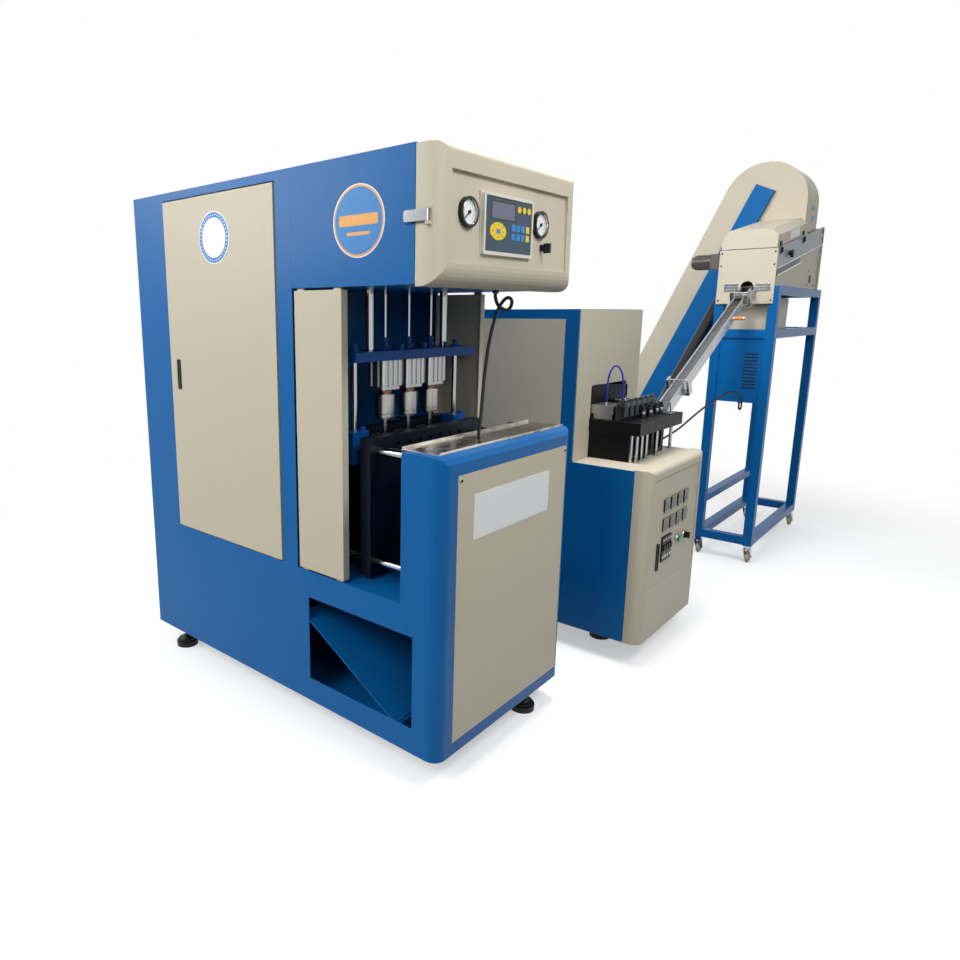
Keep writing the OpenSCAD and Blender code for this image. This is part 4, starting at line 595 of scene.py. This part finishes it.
@dataclass
class Workshop:
    """Turns shapes into pieces of the scene and dresses the CAD nodes."""

    shop: FinishShop
    count: int = 0

    def piece(self, name: str, shape: Shape | Sequence[Shape], finishes: Finish | Sequence[Finish],
              body: str, slot: str, angle: float = 35.0) -> bpy.types.Object:
        """Make one visible piece and let it ride on a body.

        Args:
            name: the piece's name.
            shape: its surface, or several that make it up.
            finishes: its finish, or one for each finish index.
            body: the CAD body that carries it.
            slot: not used.
            angle: edges sharper than this stay sharp.

        Returns:
            The object, at the origin.
        """
        whole = shape if isinstance(shape, Shape) else Shape.joined(list(shape))
        mesh = bpy.data.meshes.new(name)
        mesh.from_pydata(to_row(whole.points).tolist(), [], whole.faces)
        for finish in [finishes] if isinstance(finishes, Finish) else finishes:
            mesh.materials.append(self.shop.material(finish))
        mesh.polygons.foreach_set("material_index", whole.skins)
        mesh.polygons.foreach_set("use_smooth", [True] * len(whole.faces))
        mesh.set_sharp_from_angle(angle=np.radians(angle))
        mesh.update()
        thing = added(name, mesh)
        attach(thing, body)
        self.count += 1
        LOG.info("made %s on %s, %d faces", name, body, len(whole.faces))
        return thing

    def dress(self, nodes: dict[str, bpy.types.Object]) -> None:
        """Give every CAD node its finish."""
        wanted = {name: finish for finish, names in NODE_FINISH.items() for name in names}
        for name, node in nodes.items():
            finish = wanted.get(name, BLACK_RUBBER)
            node.data.materials.clear()
            node.data.materials.append(self.shop.material(finish))
            LOG.info("dressed %s in %s", name, finish.name)


# Sub-assemblies


@dataclass(frozen=True)
class Lamp:
    """A round area lamp: its place and aim in row metres, its width and its power in watts."""

    name: str
    place: Triple
    aim: Triple
    size: float
    power: float


LAMPS = (
    Lamp("left_window", (-5.6, -0.2, 3.7), (-2.0, 0.0, 1.3), 2.4, 88.0),
    Lamp("sheen_window", (-5.6, 4.2, 3.2), (-2.0, 0.0, 1.5), 2.8, 150.0),
    Lamp("front_window", (-1.7, -2.5, 3.2), (-1.6, -0.7, 1.8), 0.9, 36.0),
    Lamp("eye_fill", (-3.5, -2.7, 2.1), (-1.3, -0.3, 1.2), 0.8, 8.0),
    Lamp("gap_light", (-0.9, -0.5, 3.6), (-0.75, 0.1, 1.0), 1.0, 60.0),
    Lamp("loader_light", (-0.6, -2.8, 4.4), (1.4, -0.4, 1.8), 2.0, 10.0),
    Lamp("back_light", (3.4, 5.4, 3.8), (0.6, 0.0, 1.2), 3.6, 40.0),
)


@dataclass
class Studio:
    """Pale floor, soft light and the camera at the photographer's place."""

    eye: Triple = (-1600.0, -1187.0, 1520.0)
    ahead: Triple = (0.724, 0.660, -0.199)
    lens: float = 26.25
    shift: Pair = (0.1115, -0.026)
    room: float = 60.0
    shadow_reach: float = 2.5
    shadow_fade: float = 1.6
    sky_strength: Pair = (0.08, 0.54)

    def camera(self) -> None:
        """Place the camera and make it the scene's."""
        data = bpy.data.cameras.new("eye_level")
        data.sensor_width, data.lens = 36.0, self.lens
        data.shift_x, data.shift_y = self.shift
        data.dof.use_dof = False
        data.clip_end = 100.0
        holder = added("eye_level", data)
        holder.location = to_row(np.array(self.eye)).tolist()
        holder.rotation_euler = Vector(self.ahead).to_track_quat("-Z", "Y").to_euler()
        bpy.context.scene.camera = holder

    def floor(self) -> None:
        """A pale floor that keeps the shadow and turns white away from the machine."""
        half = self.room / 2
        corners = [(-half, -half, 0), (half, -half, 0), (half, half, 0), (-half, half, 0)]
        mesh = bpy.data.meshes.new("studio_floor")
        mesh.from_pydata(corners, [], [(0, 1, 2, 3)])
        material = bpy.data.materials.new("studio_floor")
        material.use_nodes = True
        tree = material.node_tree
        bounce = tree.nodes["Principled BSDF"]
        shown = tree.nodes.new("ShaderNodeBsdfDiffuse")
        white = tree.nodes.new("ShaderNodeEmission")
        for shader, label, value in ((bounce, "Base Color", 0.22), (shown, "Color", 0.74),
                                     (white, "Color", 1.0)):
            put(shader, {label: (value, value, value, 1)})
        put(bounce, {"Roughness": 0.95, "Specular IOR Level": 0.0})
        lift = tree.nodes.new("ShaderNodeEmission")
        put(lift, {"Strength": 0.44})
        pale = tree.nodes.new("ShaderNodeAddShader")
        tree.links.new(shown.outputs[0], pale.inputs[0])
        tree.links.new(lift.outputs[0], pale.inputs[1])
        reach = tree.nodes.new("ShaderNodeVectorMath")
        reach.operation = "LENGTH"
        tree.links.new(place_of(tree), reach.inputs[0])
        fade = carried(tree, reach.outputs["Value"],
                       (self.shadow_reach, self.shadow_reach + self.shadow_fade, 0.0, 1.0))
        ground = self._mixed(tree, fade, pale, white)
        surface = self._mixed(tree, self._seen(tree), bounce, ground)
        tree.links.new(surface.outputs[0], tree.nodes["Material Output"].inputs["Surface"])
        mesh.materials.append(material)
        added("studio_floor", mesh)

    @staticmethod
    def _mixed(tree: Tree, by: Socket, first: Node, second: Node) -> Node:
        """Two shaders mixed by a factor, which is one where the second shows alone."""
        mix = tree.nodes.new("ShaderNodeMixShader")
        for socket, entry in zip((by, first.outputs[0], second.outputs[0]), mix.inputs):
            tree.links.new(socket, entry)
        return mix

    @staticmethod
    def _seen(tree: Tree) -> Socket:
        """One for rays that the camera sees, directly, in gloss or through glass."""
        path = tree.nodes.new("ShaderNodeLightPath").outputs
        total = maths(tree, "ADD", path["Is Camera Ray"],
                      maths(tree, "ADD", path["Is Glossy Ray"], path["Is Transmission Ray"]))
        return maths(tree, "MINIMUM", total, 1.0)

    def light(self) -> None:
        """Soft lamps high on the left, weaker ones in front and behind, and a plain pale world."""
        for lamp in LAMPS:
            data = bpy.data.lights.new(lamp.name, "AREA")
            data.shape, data.size, data.energy = "DISK", lamp.size, lamp.power
            holder = added(lamp.name, data)
            holder.location = lamp.place
            way = Vector(lamp.aim) - Vector(lamp.place)
            holder.rotation_euler = way.to_track_quat("-Z", "Y").to_euler()
        world = bpy.data.worlds.new("pale_room")
        bpy.context.scene.world = world
        world.use_nodes = True
        tree = world.node_tree
        plain = tree.nodes["Background"]
        put(plain, {"Color": (0.97, 0.99, 1.0, 1)})
        tree.links.new(self._sky(tree), plain.inputs["Strength"])
        white = tree.nodes.new("ShaderNodeBackground")
        put(white, {"Color": (1, 1, 1, 1)})
        surface = self._mixed(tree, self._seen(tree), plain, white)
        tree.links.new(surface.outputs[0], tree.nodes["World Output"].inputs["Surface"])

    def _sky(self, tree: Tree) -> Socket:
        """Strength of the room's light, from weak near the floor to full overhead."""
        split = tree.nodes.new("ShaderNodeSeparateXYZ")
        tree.links.new(tree.nodes.new("ShaderNodeTexCoord").outputs["Generated"], split.inputs[0])
        return carried(tree, split.outputs["Z"], (-0.1, 1.0, *self.sky_strength), smooth=False)


@dataclass
class Cords:
    """The three free cords, on the routes of their CAD solids."""

    screen_route: tuple = (
        (548, 190, 1585.8), (548, 190, 1572), (552, 182, 1548), (562, 168, 1534), (576, 158, 1530),
        (588, 152, 1540), (592, 150, 1556), (588, 152, 1568), (576, 158, 1572), (560, 166, 1560),
        (544, 176, 1530), (530, 184, 1480), (518, 190, 1420), (508, 194, 1350), (500, 196, 1280),
        (488, 192, 1215), (468, 182, 1165), (440, 168, 1132), (410, 150, 1116), (384, 134, 1112))
    tube_route: tuple = (
        (1405, 140, 1128.2), (1405, 140, 1155), (1403, 139, 1200), (1404, 135, 1245),
        (1410, 127, 1275), (1420, 116, 1290), (1431, 102, 1282), (1438, 90, 1255), (1441, 84, 1215),
        (1442, 82, 1180), (1442, 82, 1146.2))
    loader_route: tuple = (
        (1880, 60, 884.2), (1880, 60, 890), (1884, 59.6, 899), (1893, 58.7, 905.5), (1908, 57, 908),
        (1960, 50, 917), (2080, 36, 945), (2240, 20, 995), (2420, 6, 1040), (2600, -6, 1070),
        (2750, -14, 1076), (2860, -18, 1050), (2930, -16, 1008), (2972, -8, 974), (3004, 4, 952),
        (3026, 14, 944), (3038, 22, 950), (3040, 24, 964), (3040, 24, 981.8))

    def build(self, work: Workshop) -> None:
        cable = (BLACK_RUBBER, "cable_rubber", "medium")
        plans = (
            ("screen_cable", self.screen_route, 6.0, (0, 1, 0), *cable),
            ("feed_tube", self.tube_route, 4.0, (58, 37, 0), TUBE_BLUE, "blue_tube", "stiff"),
            ("loader_cable", self.loader_route, 5.0, (0, 1, 0), *cable),
        )
        for name, route, radius, reference, finish, slot, stiffness in plans:
            line = smooth_route(route)
            tube = work.piece(name + "_cord", swept_tube(line, radius, reference), finish, "frame",
                              slot)
            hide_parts(name)


@dataclass
class CabinetTrim:
    """Bare badges and plates of the moulding cabinet, and its small fasteners."""

    door_badge: Triple = (1064.0, 1792.0, 94.0)
    head_badge: Triple = (331.0, 1791.0, 107.0)
    guard_plate: tuple[float, float, float, float] = (170.0, 642.0, 819.0, 967.0)
    bead_profile: tuple = ((2.6, 0), (2.6, 0.5), (0.1, 0.6))
    bead_count: int = 36
    screw_places: tuple = ((96.5, -4, 1023.5), (751.5, -4, 1023.5))

    @staticmethod
    def _round_badge(x: float, y: float, z: float, rings: Sequence[tuple[float, int]]) -> Shape:
        """A thin round badge on a left-hand side, whose rings run from the rim inwards."""
        radii = [rings[0][0]] + [r for r, _ in rings] + [rings[-1][0] * 0.02]
        heights = [0.0] + [1.0] * (len(radii) - 1)
        skins = [rings[0][1]] + [k for _, k in rings]
        return revolved(list(zip(radii, heights)), (x, y, z), "-x", 96, skins)

    def build(self, work: Workshop) -> None:
        """Make the badges, the bare plate and the guard's screws."""
        door_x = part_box("cabinet_door")[0].x / MILLIMETRE + ROW_MIDDLE[0]
        y, z, r = self.door_badge
        work.piece("door_badge", self._round_badge(
            door_x, y, z, [(r, 1), (r - 4, 0), (r - 22, 1), (r - 25, 1)]),
            (BADGE_BLUE, WHITE_PLATE), "cabinet_door", "pebble_paint")
        ring = r - 13
        angles = np.arange(self.bead_count) * 2 * np.pi / self.bead_count
        beads = [revolved(self.bead_profile,
                          (door_x - 0.9, y + ring * np.cos(a), z + ring * np.sin(a)), "-x", 10)
                 for a in angles]
        work.piece("door_badge_beads", beads, WHITE_PLATE, "cabinet_door", "pebble_paint")
        y, z, r = self.head_badge
        band = slab(rounded(1.5 * r, 0.3 * r, 6), (-1.0, y, z + 3), *LEFT, 0.3)
        small = slab(rounded(0.9 * r, 0.09 * r, 3), (-1.0, y, z - 0.34 * r), *LEFT, 0.3)
        rings = self._round_badge(0.0, y, z, [(r, 1), (r - 3, 0), (r - 9, 2)])
        work.piece("head_badge", [rings, band, small], (GOLD, WHITE_PLATE, BADGE_BLUE), "frame",
                   "blue_paint")
        x0, x1, z0, z1 = self.guard_plate
        middle = ((x0 + x1) / 2, -1.0, (z0 + z1) / 2)
        plate = slab(rounded(x1 - x0, z1 - z0, 3), middle, *FRONT, 0.8)
        work.piece("guard_plate", plate, WHITE_PLATE, "frame", "pebble_paint")
        heads = [revolved(SCREW, place, "-y", 16) for place in self.screw_places]
        work.piece("guard_screws", heads, BLACK_STEEL, "frame", "black_steel")


@dataclass
class OperatorScreen:
    """Membrane, display, keys and the gauges' dials on the control cover."""

    left: float = 221.0
    right: float = 486.0
    bottom: float = 1702.0
    top: float = 1861.0
    face: float = 26.0
    display: Pair = (0.375, 0.24)
    pad: Pair = (0.27, 0.62)
    key_step: Pair = (0.105, 0.165)
    dials: Pair = (145.0, 557.0)
    dial_z: float = 1804.0
    dial_y: float = 31.0
    dial_r: float = 35.6
    scale_marks: int = 28
    scale_arc: float = 24.0
    rim: tuple = ((0.2, 0), (1.1, -5.5), (-0.6, -6.6), (-1.4, -5.5), (-1.4, 0))

    def _at(self, u: float, v: float, out: float = 0.9) -> Triple:
        """Place on the membrane: shares from its left and its top edge, and millimetres out."""
        return (self.left + u * (self.right - self.left), self.face - out,
                self.top - v * (self.top - self.bottom))

    def _key(self, u: float, v: float, width: float, skin: int) -> Shape:
        """A raised key of the membrane."""
        return slab(rounded(width, 20, 2.6), self._at(u, v), *FRONT, 1.1, skin)

    def build(self, work: Workshop) -> None:
        """Make the screen's pieces."""
        place = ("control_cover", "screen_plastic")
        sheet = slab(rounded(self.right - self.left - 1, self.top - self.bottom - 1, 2),
                     self._at(0.5, 0.5, 0.0), *FRONT, 0.9)
        work.piece("screen_membrane", sheet, MEMBRANE, *place)
        work.piece("screen_display", [
            slab(rounded(140, 58, 3), self._at(*self.display), *FRONT, 0.5, 1),
            slab(rounded(126, 46, 2), self._at(*self.display, 1.4), *FRONT, 0.3, 0)],
            (SCREEN, METER_FACE), *place)
        work.piece("screen_keys", self._keys(), (YELLOW, SKY, INK), *place)
        for side, x in zip(("left", "right"), self.dials):
            self._dial(work, side, x)

    def _keys(self) -> list[Shape]:
        """Round keys, the direction pad with its lines and arrows, and the square keys."""
        px, py, pz = self._at(*self.pad, 2.1)
        du, dv = self.key_step
        return [
            *(slab(oval(10, 10, 32), self._at(u, 0.16), *FRONT, 1.2) for u in (0.72, 0.83, 0.94)),
            slab(oval(45, 26, 64), self._at(*self.pad), *FRONT, 1.2),
            slab(rounded(20, 13, 2), (px, py, pz), *FRONT, 0.7, 1),
            *(slab(rounded(30, 1.6, 0.7), (px + sx * 24, py, pz + sz * 13.5),
                   (sx * 0.87, 0, sz * 0.49), (-sz * 0.49, 0, 0.87), 0.2, 2)
              for sx in (-1, 1) for sz in (-1, 1)),
            *(slab(oval(3.4, 3.4, 3), (px + dx, py, pz + dz), *FRONT, 0.2, 2)
              for dx, dz in ((-30, 0), (30, 0), (0, 17), (0, -17))),
            *(self._key(0.60 + du * i, 0.52 + dv * j, 23, 1) for i in range(3) for j in range(2)),
            *(self._key(0.92, 0.52 + dv * j, 19, 0) for j in range(2))]

    def _dial(self, work: Workshop, side: str, x: float) -> None:
        """A white dial with its scale, and the gauge's bright inner ring."""
        r, y, z = self.dial_r, self.dial_y, self.dial_z
        face = revolved([(r, 0), (r, 0.4), (2.4, 0.5)], (x, y + 0.1, z), "-y", 64)
        angles = np.radians(np.linspace(225, -45, self.scale_marks))
        rays = np.stack([np.cos(angles), np.zeros_like(angles), np.sin(angles)], -1)
        ticks = []
        for index, ray in enumerate(rays):
            length, width, inset = (6.5, 0.95, 6.2) if index % 3 == 0 else (3.2, 0.55, 4.6)
            middle = np.array([x, y - 0.4, z]) + (r - inset) * ray
            tick = rounded(length, width, 0.2)
            ticks.append(slab(tick, middle, ray, (-ray[2], 0, ray[0]), 0.15, 1))
        band = swept_tube(np.array([x, y - 0.45, z]) + self.scale_arc * rays, 0.35, (0, 1, 0), 6, 1)
        work.piece(f"dial_{side}", [face, *ticks, band], (DIAL, INK), "control_cover",
                   "black_plastic")
        profile = [(r + out, height) for out, height in self.rim]
        rim = revolved(profile, (x, y - 0.2, z), "y", 64, loop=True)
        work.piece(f"dial_rim_{side}", rim, CHROME, "control_cover", "black_plastic")


@dataclass
class BlowStation:
    """Copper rings, springs and the dark clamp parts around the three cores."""

    cavities: tuple[float, ...] = (275.0, 405.0, 535.0)
    row: float = 464.0
    ring_z: float = 1239.0
    mould_top: float = 1008.0
    ring: tuple = ((6.5, 0.6), (22, 0.6), (24, 2.5), (24, 8.5), (22, 10.5), (6.5, 10.5))
    sleeve: tuple = ((25.8, 0), (33, 0), (35, 2), (35, 12), (33.4, 12.6), (33.4, 15.2), (35, 15.8),
                     (35, 84), (33.5, 86), (25.8, 86))
    spring_place: Pair = (26.0, 489.0)
    spring_round: Pair = (5.2, 9.2)
    spring_turns: int = 9
    plate: tuple = ((-34, 0), (34, 0), (34, 60), (22, 82), (-22, 82), (-34, 60))
    boss: tuple = ((5.5, 0), (9.5, 0), (9.5, 4), (5.5, 4))

    def _spring(self, x: float) -> Shape:
        """A coil: centre + radius (cos 2 pi t, sin 2 pi t), and one pitch up each turn."""
        turns = np.linspace(0, self.spring_turns, 20 * self.spring_turns + 1)
        (dx, y), (radius, pitch) = self.spring_place, self.spring_round
        a = 2 * np.pi * turns
        coil = np.stack([x + dx + radius * np.cos(a), y + radius * np.sin(a),
                         self.mould_top + 4 + pitch * turns], -1)
        return swept_tube(coil, 1.1, (0, 0, 1), 6)

    def build(self, work: Workshop) -> None:
        """Make the trim of the station."""
        rings = [revolved(self.ring, (x, self.row, self.ring_z + 1.2), "z", 40, loop=True)
                 for x in self.cavities]
        work.piece("cylinder_rings", rings, COPPER, "frame", "bright_chrome")
        sleeves = [revolved(self.sleeve, (x, self.row, self.ring_z - 87.5), "z", 48, loop=True)
                   for x in self.cavities]
        work.piece("core_sleeves", sleeves, TURNED, "blow_cores", "bright_chrome")
        springs = [self._spring(x) for x in self.cavities]
        work.piece("clamp_springs", springs, CHROME, "rear_mould", "cast_iron")
        top, outline = self.mould_top, np.array(self.plate, float)
        plates = []
        for x in self.cavities:
            plates.append(slab(outline, (x, 512, top - 2), *FRONT, 9))
            plates.append(revolved(self.boss, (x - 16, 503, top + 56), "-y", 24, loop=True))
        work.piece("clamp_plates", plates, IRON, "rear_mould", "cast_iron")


@dataclass
class HeaterTrim:
    """Bright legs, spindle sleeves, the dark sheet at the oven's mouth and the meters' faces."""

    legs: tuple[Pair, ...] = (
        (1393, 8), (1407, -10), (1467, -8), (1521, -8), (1631, -12), (1853, 4))
    leg_z: Pair = (872.5, 993.5)
    sleeves: tuple[float, ...] = (1560.0, 1640.0, 1720.0, 1775.0)
    sleeve_y: float = 33.0
    sleeve: tuple = ((0.4, 0), (11, 0), (12, 1.5), (12, 30), (10.5, 32), (0.4, 32))
    cap: tuple = ((0.4, 0), (14, 0), (14, 7), (9, 9), (9, 22), (0.4, 23))
    sheet: tuple = ((-196, 0), (196, 0), (196, 60), (-136, 84), (-188, 84), (-196, 76))
    meter_x: tuple[float, ...] = (1445.0, 1525.0, 1605.0, 1685.0)
    meter_z: Pair = (609.0, 697.0)
    breaker_x: tuple[float, ...] = (1435.5, 1462.5, 1489.5, 1516.5)
    collars: tuple = ((14.5, 19, 1619, 505), (17.5, 21, 1704, 504))

    def build(self, work: Workshop) -> None:
        """Make the trim of the heater."""
        low, high = self.leg_z
        tall = high - low
        profile = [(7.1, 0.6), (9.6, 0.6), (9.6, 5), (7.5, 6.5), (7.5, tall), (7.1, tall)]
        legs = [revolved(profile, (x, y, low), "z", 24, loop=True) for x, y in self.legs]
        work.piece("table_legs", legs, CHROME, "frame", "bright_chrome")
        sheet = slab(np.array(self.sheet, float), (1590, 207.5, 1118), *FRONT, 2.5)
        work.piece("mouth_sheet", sheet, BLACK_STEEL, "frame", "black_steel")
        sleeves = [revolved(self.sleeve, (x, self.sleeve_y, 1051), "z", 32) for x in self.sleeves]
        work.piece("preform_sleeves", sleeves, CHROME, "frame", "bright_chrome")
        caps = [revolved(self.cap, (x, self.sleeve_y, 1083.2), "z", 24) for x in self.sleeves]
        work.piece("sleeve_caps", caps, BLACK_PLASTIC, "frame", "cast_iron")
        lip = slab(rounded(666, 272, 4), (1571, 66.5, 872.05), *TOP, 0.9)
        work.piece("console_lip", lip, PEBBLE, "frame", "pebble_paint")
        self._faces(work)

    @staticmethod
    def _row(places: Sequence[tuple], size: Triple, thickness: float,
             skin: int) -> list[Shape]:
        """One round-cornered plate, facing the front, at each place."""
        return [slab(rounded(*size), place, *FRONT, thickness, skin) for place in places]

    def _faces(self, work: Workshop) -> None:
        """Frames and dark windows of the panel meters, and the breaker's labels and toggles."""
        centres = [(x, z) for x in self.meter_x for z in self.meter_z]
        work.piece("meter_faces", [
            *self._row([(x, -150, z) for x, z in centres], (48, 56, 3), 0.5, 0),
            *self._row([(x, -150.5, z) for x, z in centres], (38, 47, 2), 0.6, 1),
            *self._row([(x, -151.1, z + 12) for x, z in centres], (26, 8, 1), 0.3, 2)],
            (METER_FRAME, METER_FACE, SCREEN), "console_cover", "black_plastic")
        work.piece("breaker_faces", [
            *self._row([(x, -152, 538) for x in self.breaker_x], (15, 5, 1), 0.4, 0),
            *self._row([(x, -152, 462) for x in self.breaker_x], (15, 12, 1.5), 0.4, 0),
            *self._row([(x, -152, 504) for x in self.breaker_x], (13, 26, 2), 7, 1)],
            (WHITE_PLATE, BLACK_PLASTIC), "console_cover", "black_plastic")
        collars = [revolved([(inner, 0.1), (outer, 0.1), (outer - 1, 2.4), (inner, 2.6)],
                            (x, -148, z), "-y", 40, loop=True)
                   for inner, outer, x, z in self.collars]
        work.piece("switch_collars", collars, CHROME, "console_cover", "bright_chrome")


@dataclass
class LoaderTrim:
    """Labels, latches, the sensor's sleeve and the plug of the loader."""

    tilt: float = 10.5
    origin: Pair = (2965.0, 1882.0)
    front: float = -118.0
    latches: Pair = (55.0, 575.0)
    badge: Triple = (3780.0, -100.0, 2145.0)
    plug: tuple = ((0.4, -7), (20.5, -7), (20.5, 0.3), (25.5, 0.3), (25.5, 2.6), (22, 4.4),
                   (0.4, 4.4))
    plug_place: Triple = (3860.0, -110.0, 1738.0)
    sensor: tuple = ((9.3, 0), (10.6, 1), (10.6, 40), (9.3, 41))
    sensor_place: Triple = (2650.6, -54.0, 1490.2)
    louvre: Triple = (2974.8, -32.0, 1082.0)
    louvre_count: int = 11
    louvre_step: float = 20.0

    def _plate(self, size: Triple, along: float, out: float, height: float,
               thickness: float, skin: int = 0) -> Shape:
        """A plate that lies along the sloping trough.

        Args:
            size: its length, its height and its corner radius.
            along: distance of its middle up the trough.
            out: distance of its back behind the trough's front.
            height: height of its middle over the trough's edge.
            thickness: from its back to its front.
            skin: finish index.

        Returns:
            The plate.
        """
        c, s = np.cos(np.radians(self.tilt)), np.sin(np.radians(self.tilt))
        middle = (self.origin[0] + along * c - height * s, self.front + out,
                  self.origin[1] + along * s + height * c)
        return slab(rounded(*size), middle, (c, 0, s), (-s, 0, c), thickness, skin)

    def build(self, work: Workshop) -> None:
        """Make the trim of the loader."""
        for index, along in enumerate(self.latches):
            base = [self._plate((34, 38, 3), along, 0, -23, 5),
                    self._plate((20, 28, 2), along, -5, -20, 7)]
            work.piece(f"latch_{index}", base, BLACK_PLASTIC, "frame", "black_plastic")
            catch = self._plate((28, 24, 2), along, 6, 17, 8)
            work.piece(f"latch_catch_{index}", catch, BLACK_PLASTIC, "trough_cover",
                       "black_plastic")
        label = self._plate((215, 46, 3), 375, 6, 36, 0.8)
        work.piece("cover_label", label, WHITE_PLATE, "trough_cover", "pebble_paint")
        clips = [self._plate((16, 34, 2), 1096, 0, height, 3) for height in (-26, -84)]
        work.piece("plate_clips", clips, BLACK_PLASTIC, "frame", "black_plastic")
        # The third plate, in dark iron, is painted shadow: a thin strip in place of the shade in
        # the gap under the plates' flange
        rails_and_painted_gap_shadow = [self._plate((1090, 5, 1), 556, 0, -116, 1.4),
                 self._plate((540, 9, 2), 276, 8, -158, 7),
                 self._plate((540, 28, 1), 276, 8, -138, 0.7, 1)]
        work.piece("trough_rails", rails_and_painted_gap_shadow, (STAINLESS, IRON), "frame", "stainless")
        plug = revolved(self.plug, self.plug_place, "-y", 40)
        work.piece("skirt_plug", plug, BLACK_PLASTIC, "frame", "black_plastic")
        x, y, z = self.badge
        badge = [slab(oval(48, 48, 64), (x, y, z), *FRONT, 0.7),
                 slab(rounded(84, 30, 3), (x, y - 0.7, z), *FRONT, 0.4, 1)]
        work.piece("hood_badge", badge, (BADGE_BLUE, GOLD), "frame", "pebble_paint")
        heads = [revolved(SCREW, (2957, y, z), "-x", 12)
                 for y in (-106, 176) for z in (1590, 1790, 1860)]
        heads += [revolved(SCREW, (x, -110, z), "-y", 12)
                  for x in (3800, 3990) for z in (1700, 1790)]
        work.piece("loader_screws", heads, BLACK_STEEL, "frame", "black_steel")
        # Painted shade: thin black plates in place of the shade inside the louvre's slot openings
        x, y, z = self.louvre
        painted_slot_shade = [slab(rounded(74, 8, 2), (x, y, z + self.louvre_step * i), *LEFT, 0.6)
                 for i in range(self.louvre_count)]
        work.piece("louvre_slots", painted_slot_shade, BLACK_RUBBER, "frame", "blue_paint")
        sensor = revolved(self.sensor, self.sensor_place, "y", 24, loop=True)
        work.piece("sensor_sleeve", sensor, ORANGE, "frame", "stainless")


def main() -> None:
    """Build the scene around the frame, piece by piece."""
    logging.basicConfig(level=logging.INFO, format="%(message)s")
    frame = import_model()
    kit = ShaderKit()
    kit.build()
    work = Workshop(FinishShop(kit))
    studio = Studio()
    studio.camera()
    Cords().build(work)
    work.dress(frame["nodes"])
    for assembly in (CabinetTrim(), OperatorScreen(), BlowStation(), HeaterTrim(), LoaderTrim()):
        assembly.build(work)
    studio.floor()
    studio.light()
    bpy.context.scene.view_settings.view_transform = "Standard"
    LOG.info("%d pieces made", work.count)


if __name__ == "__main__":
    main()
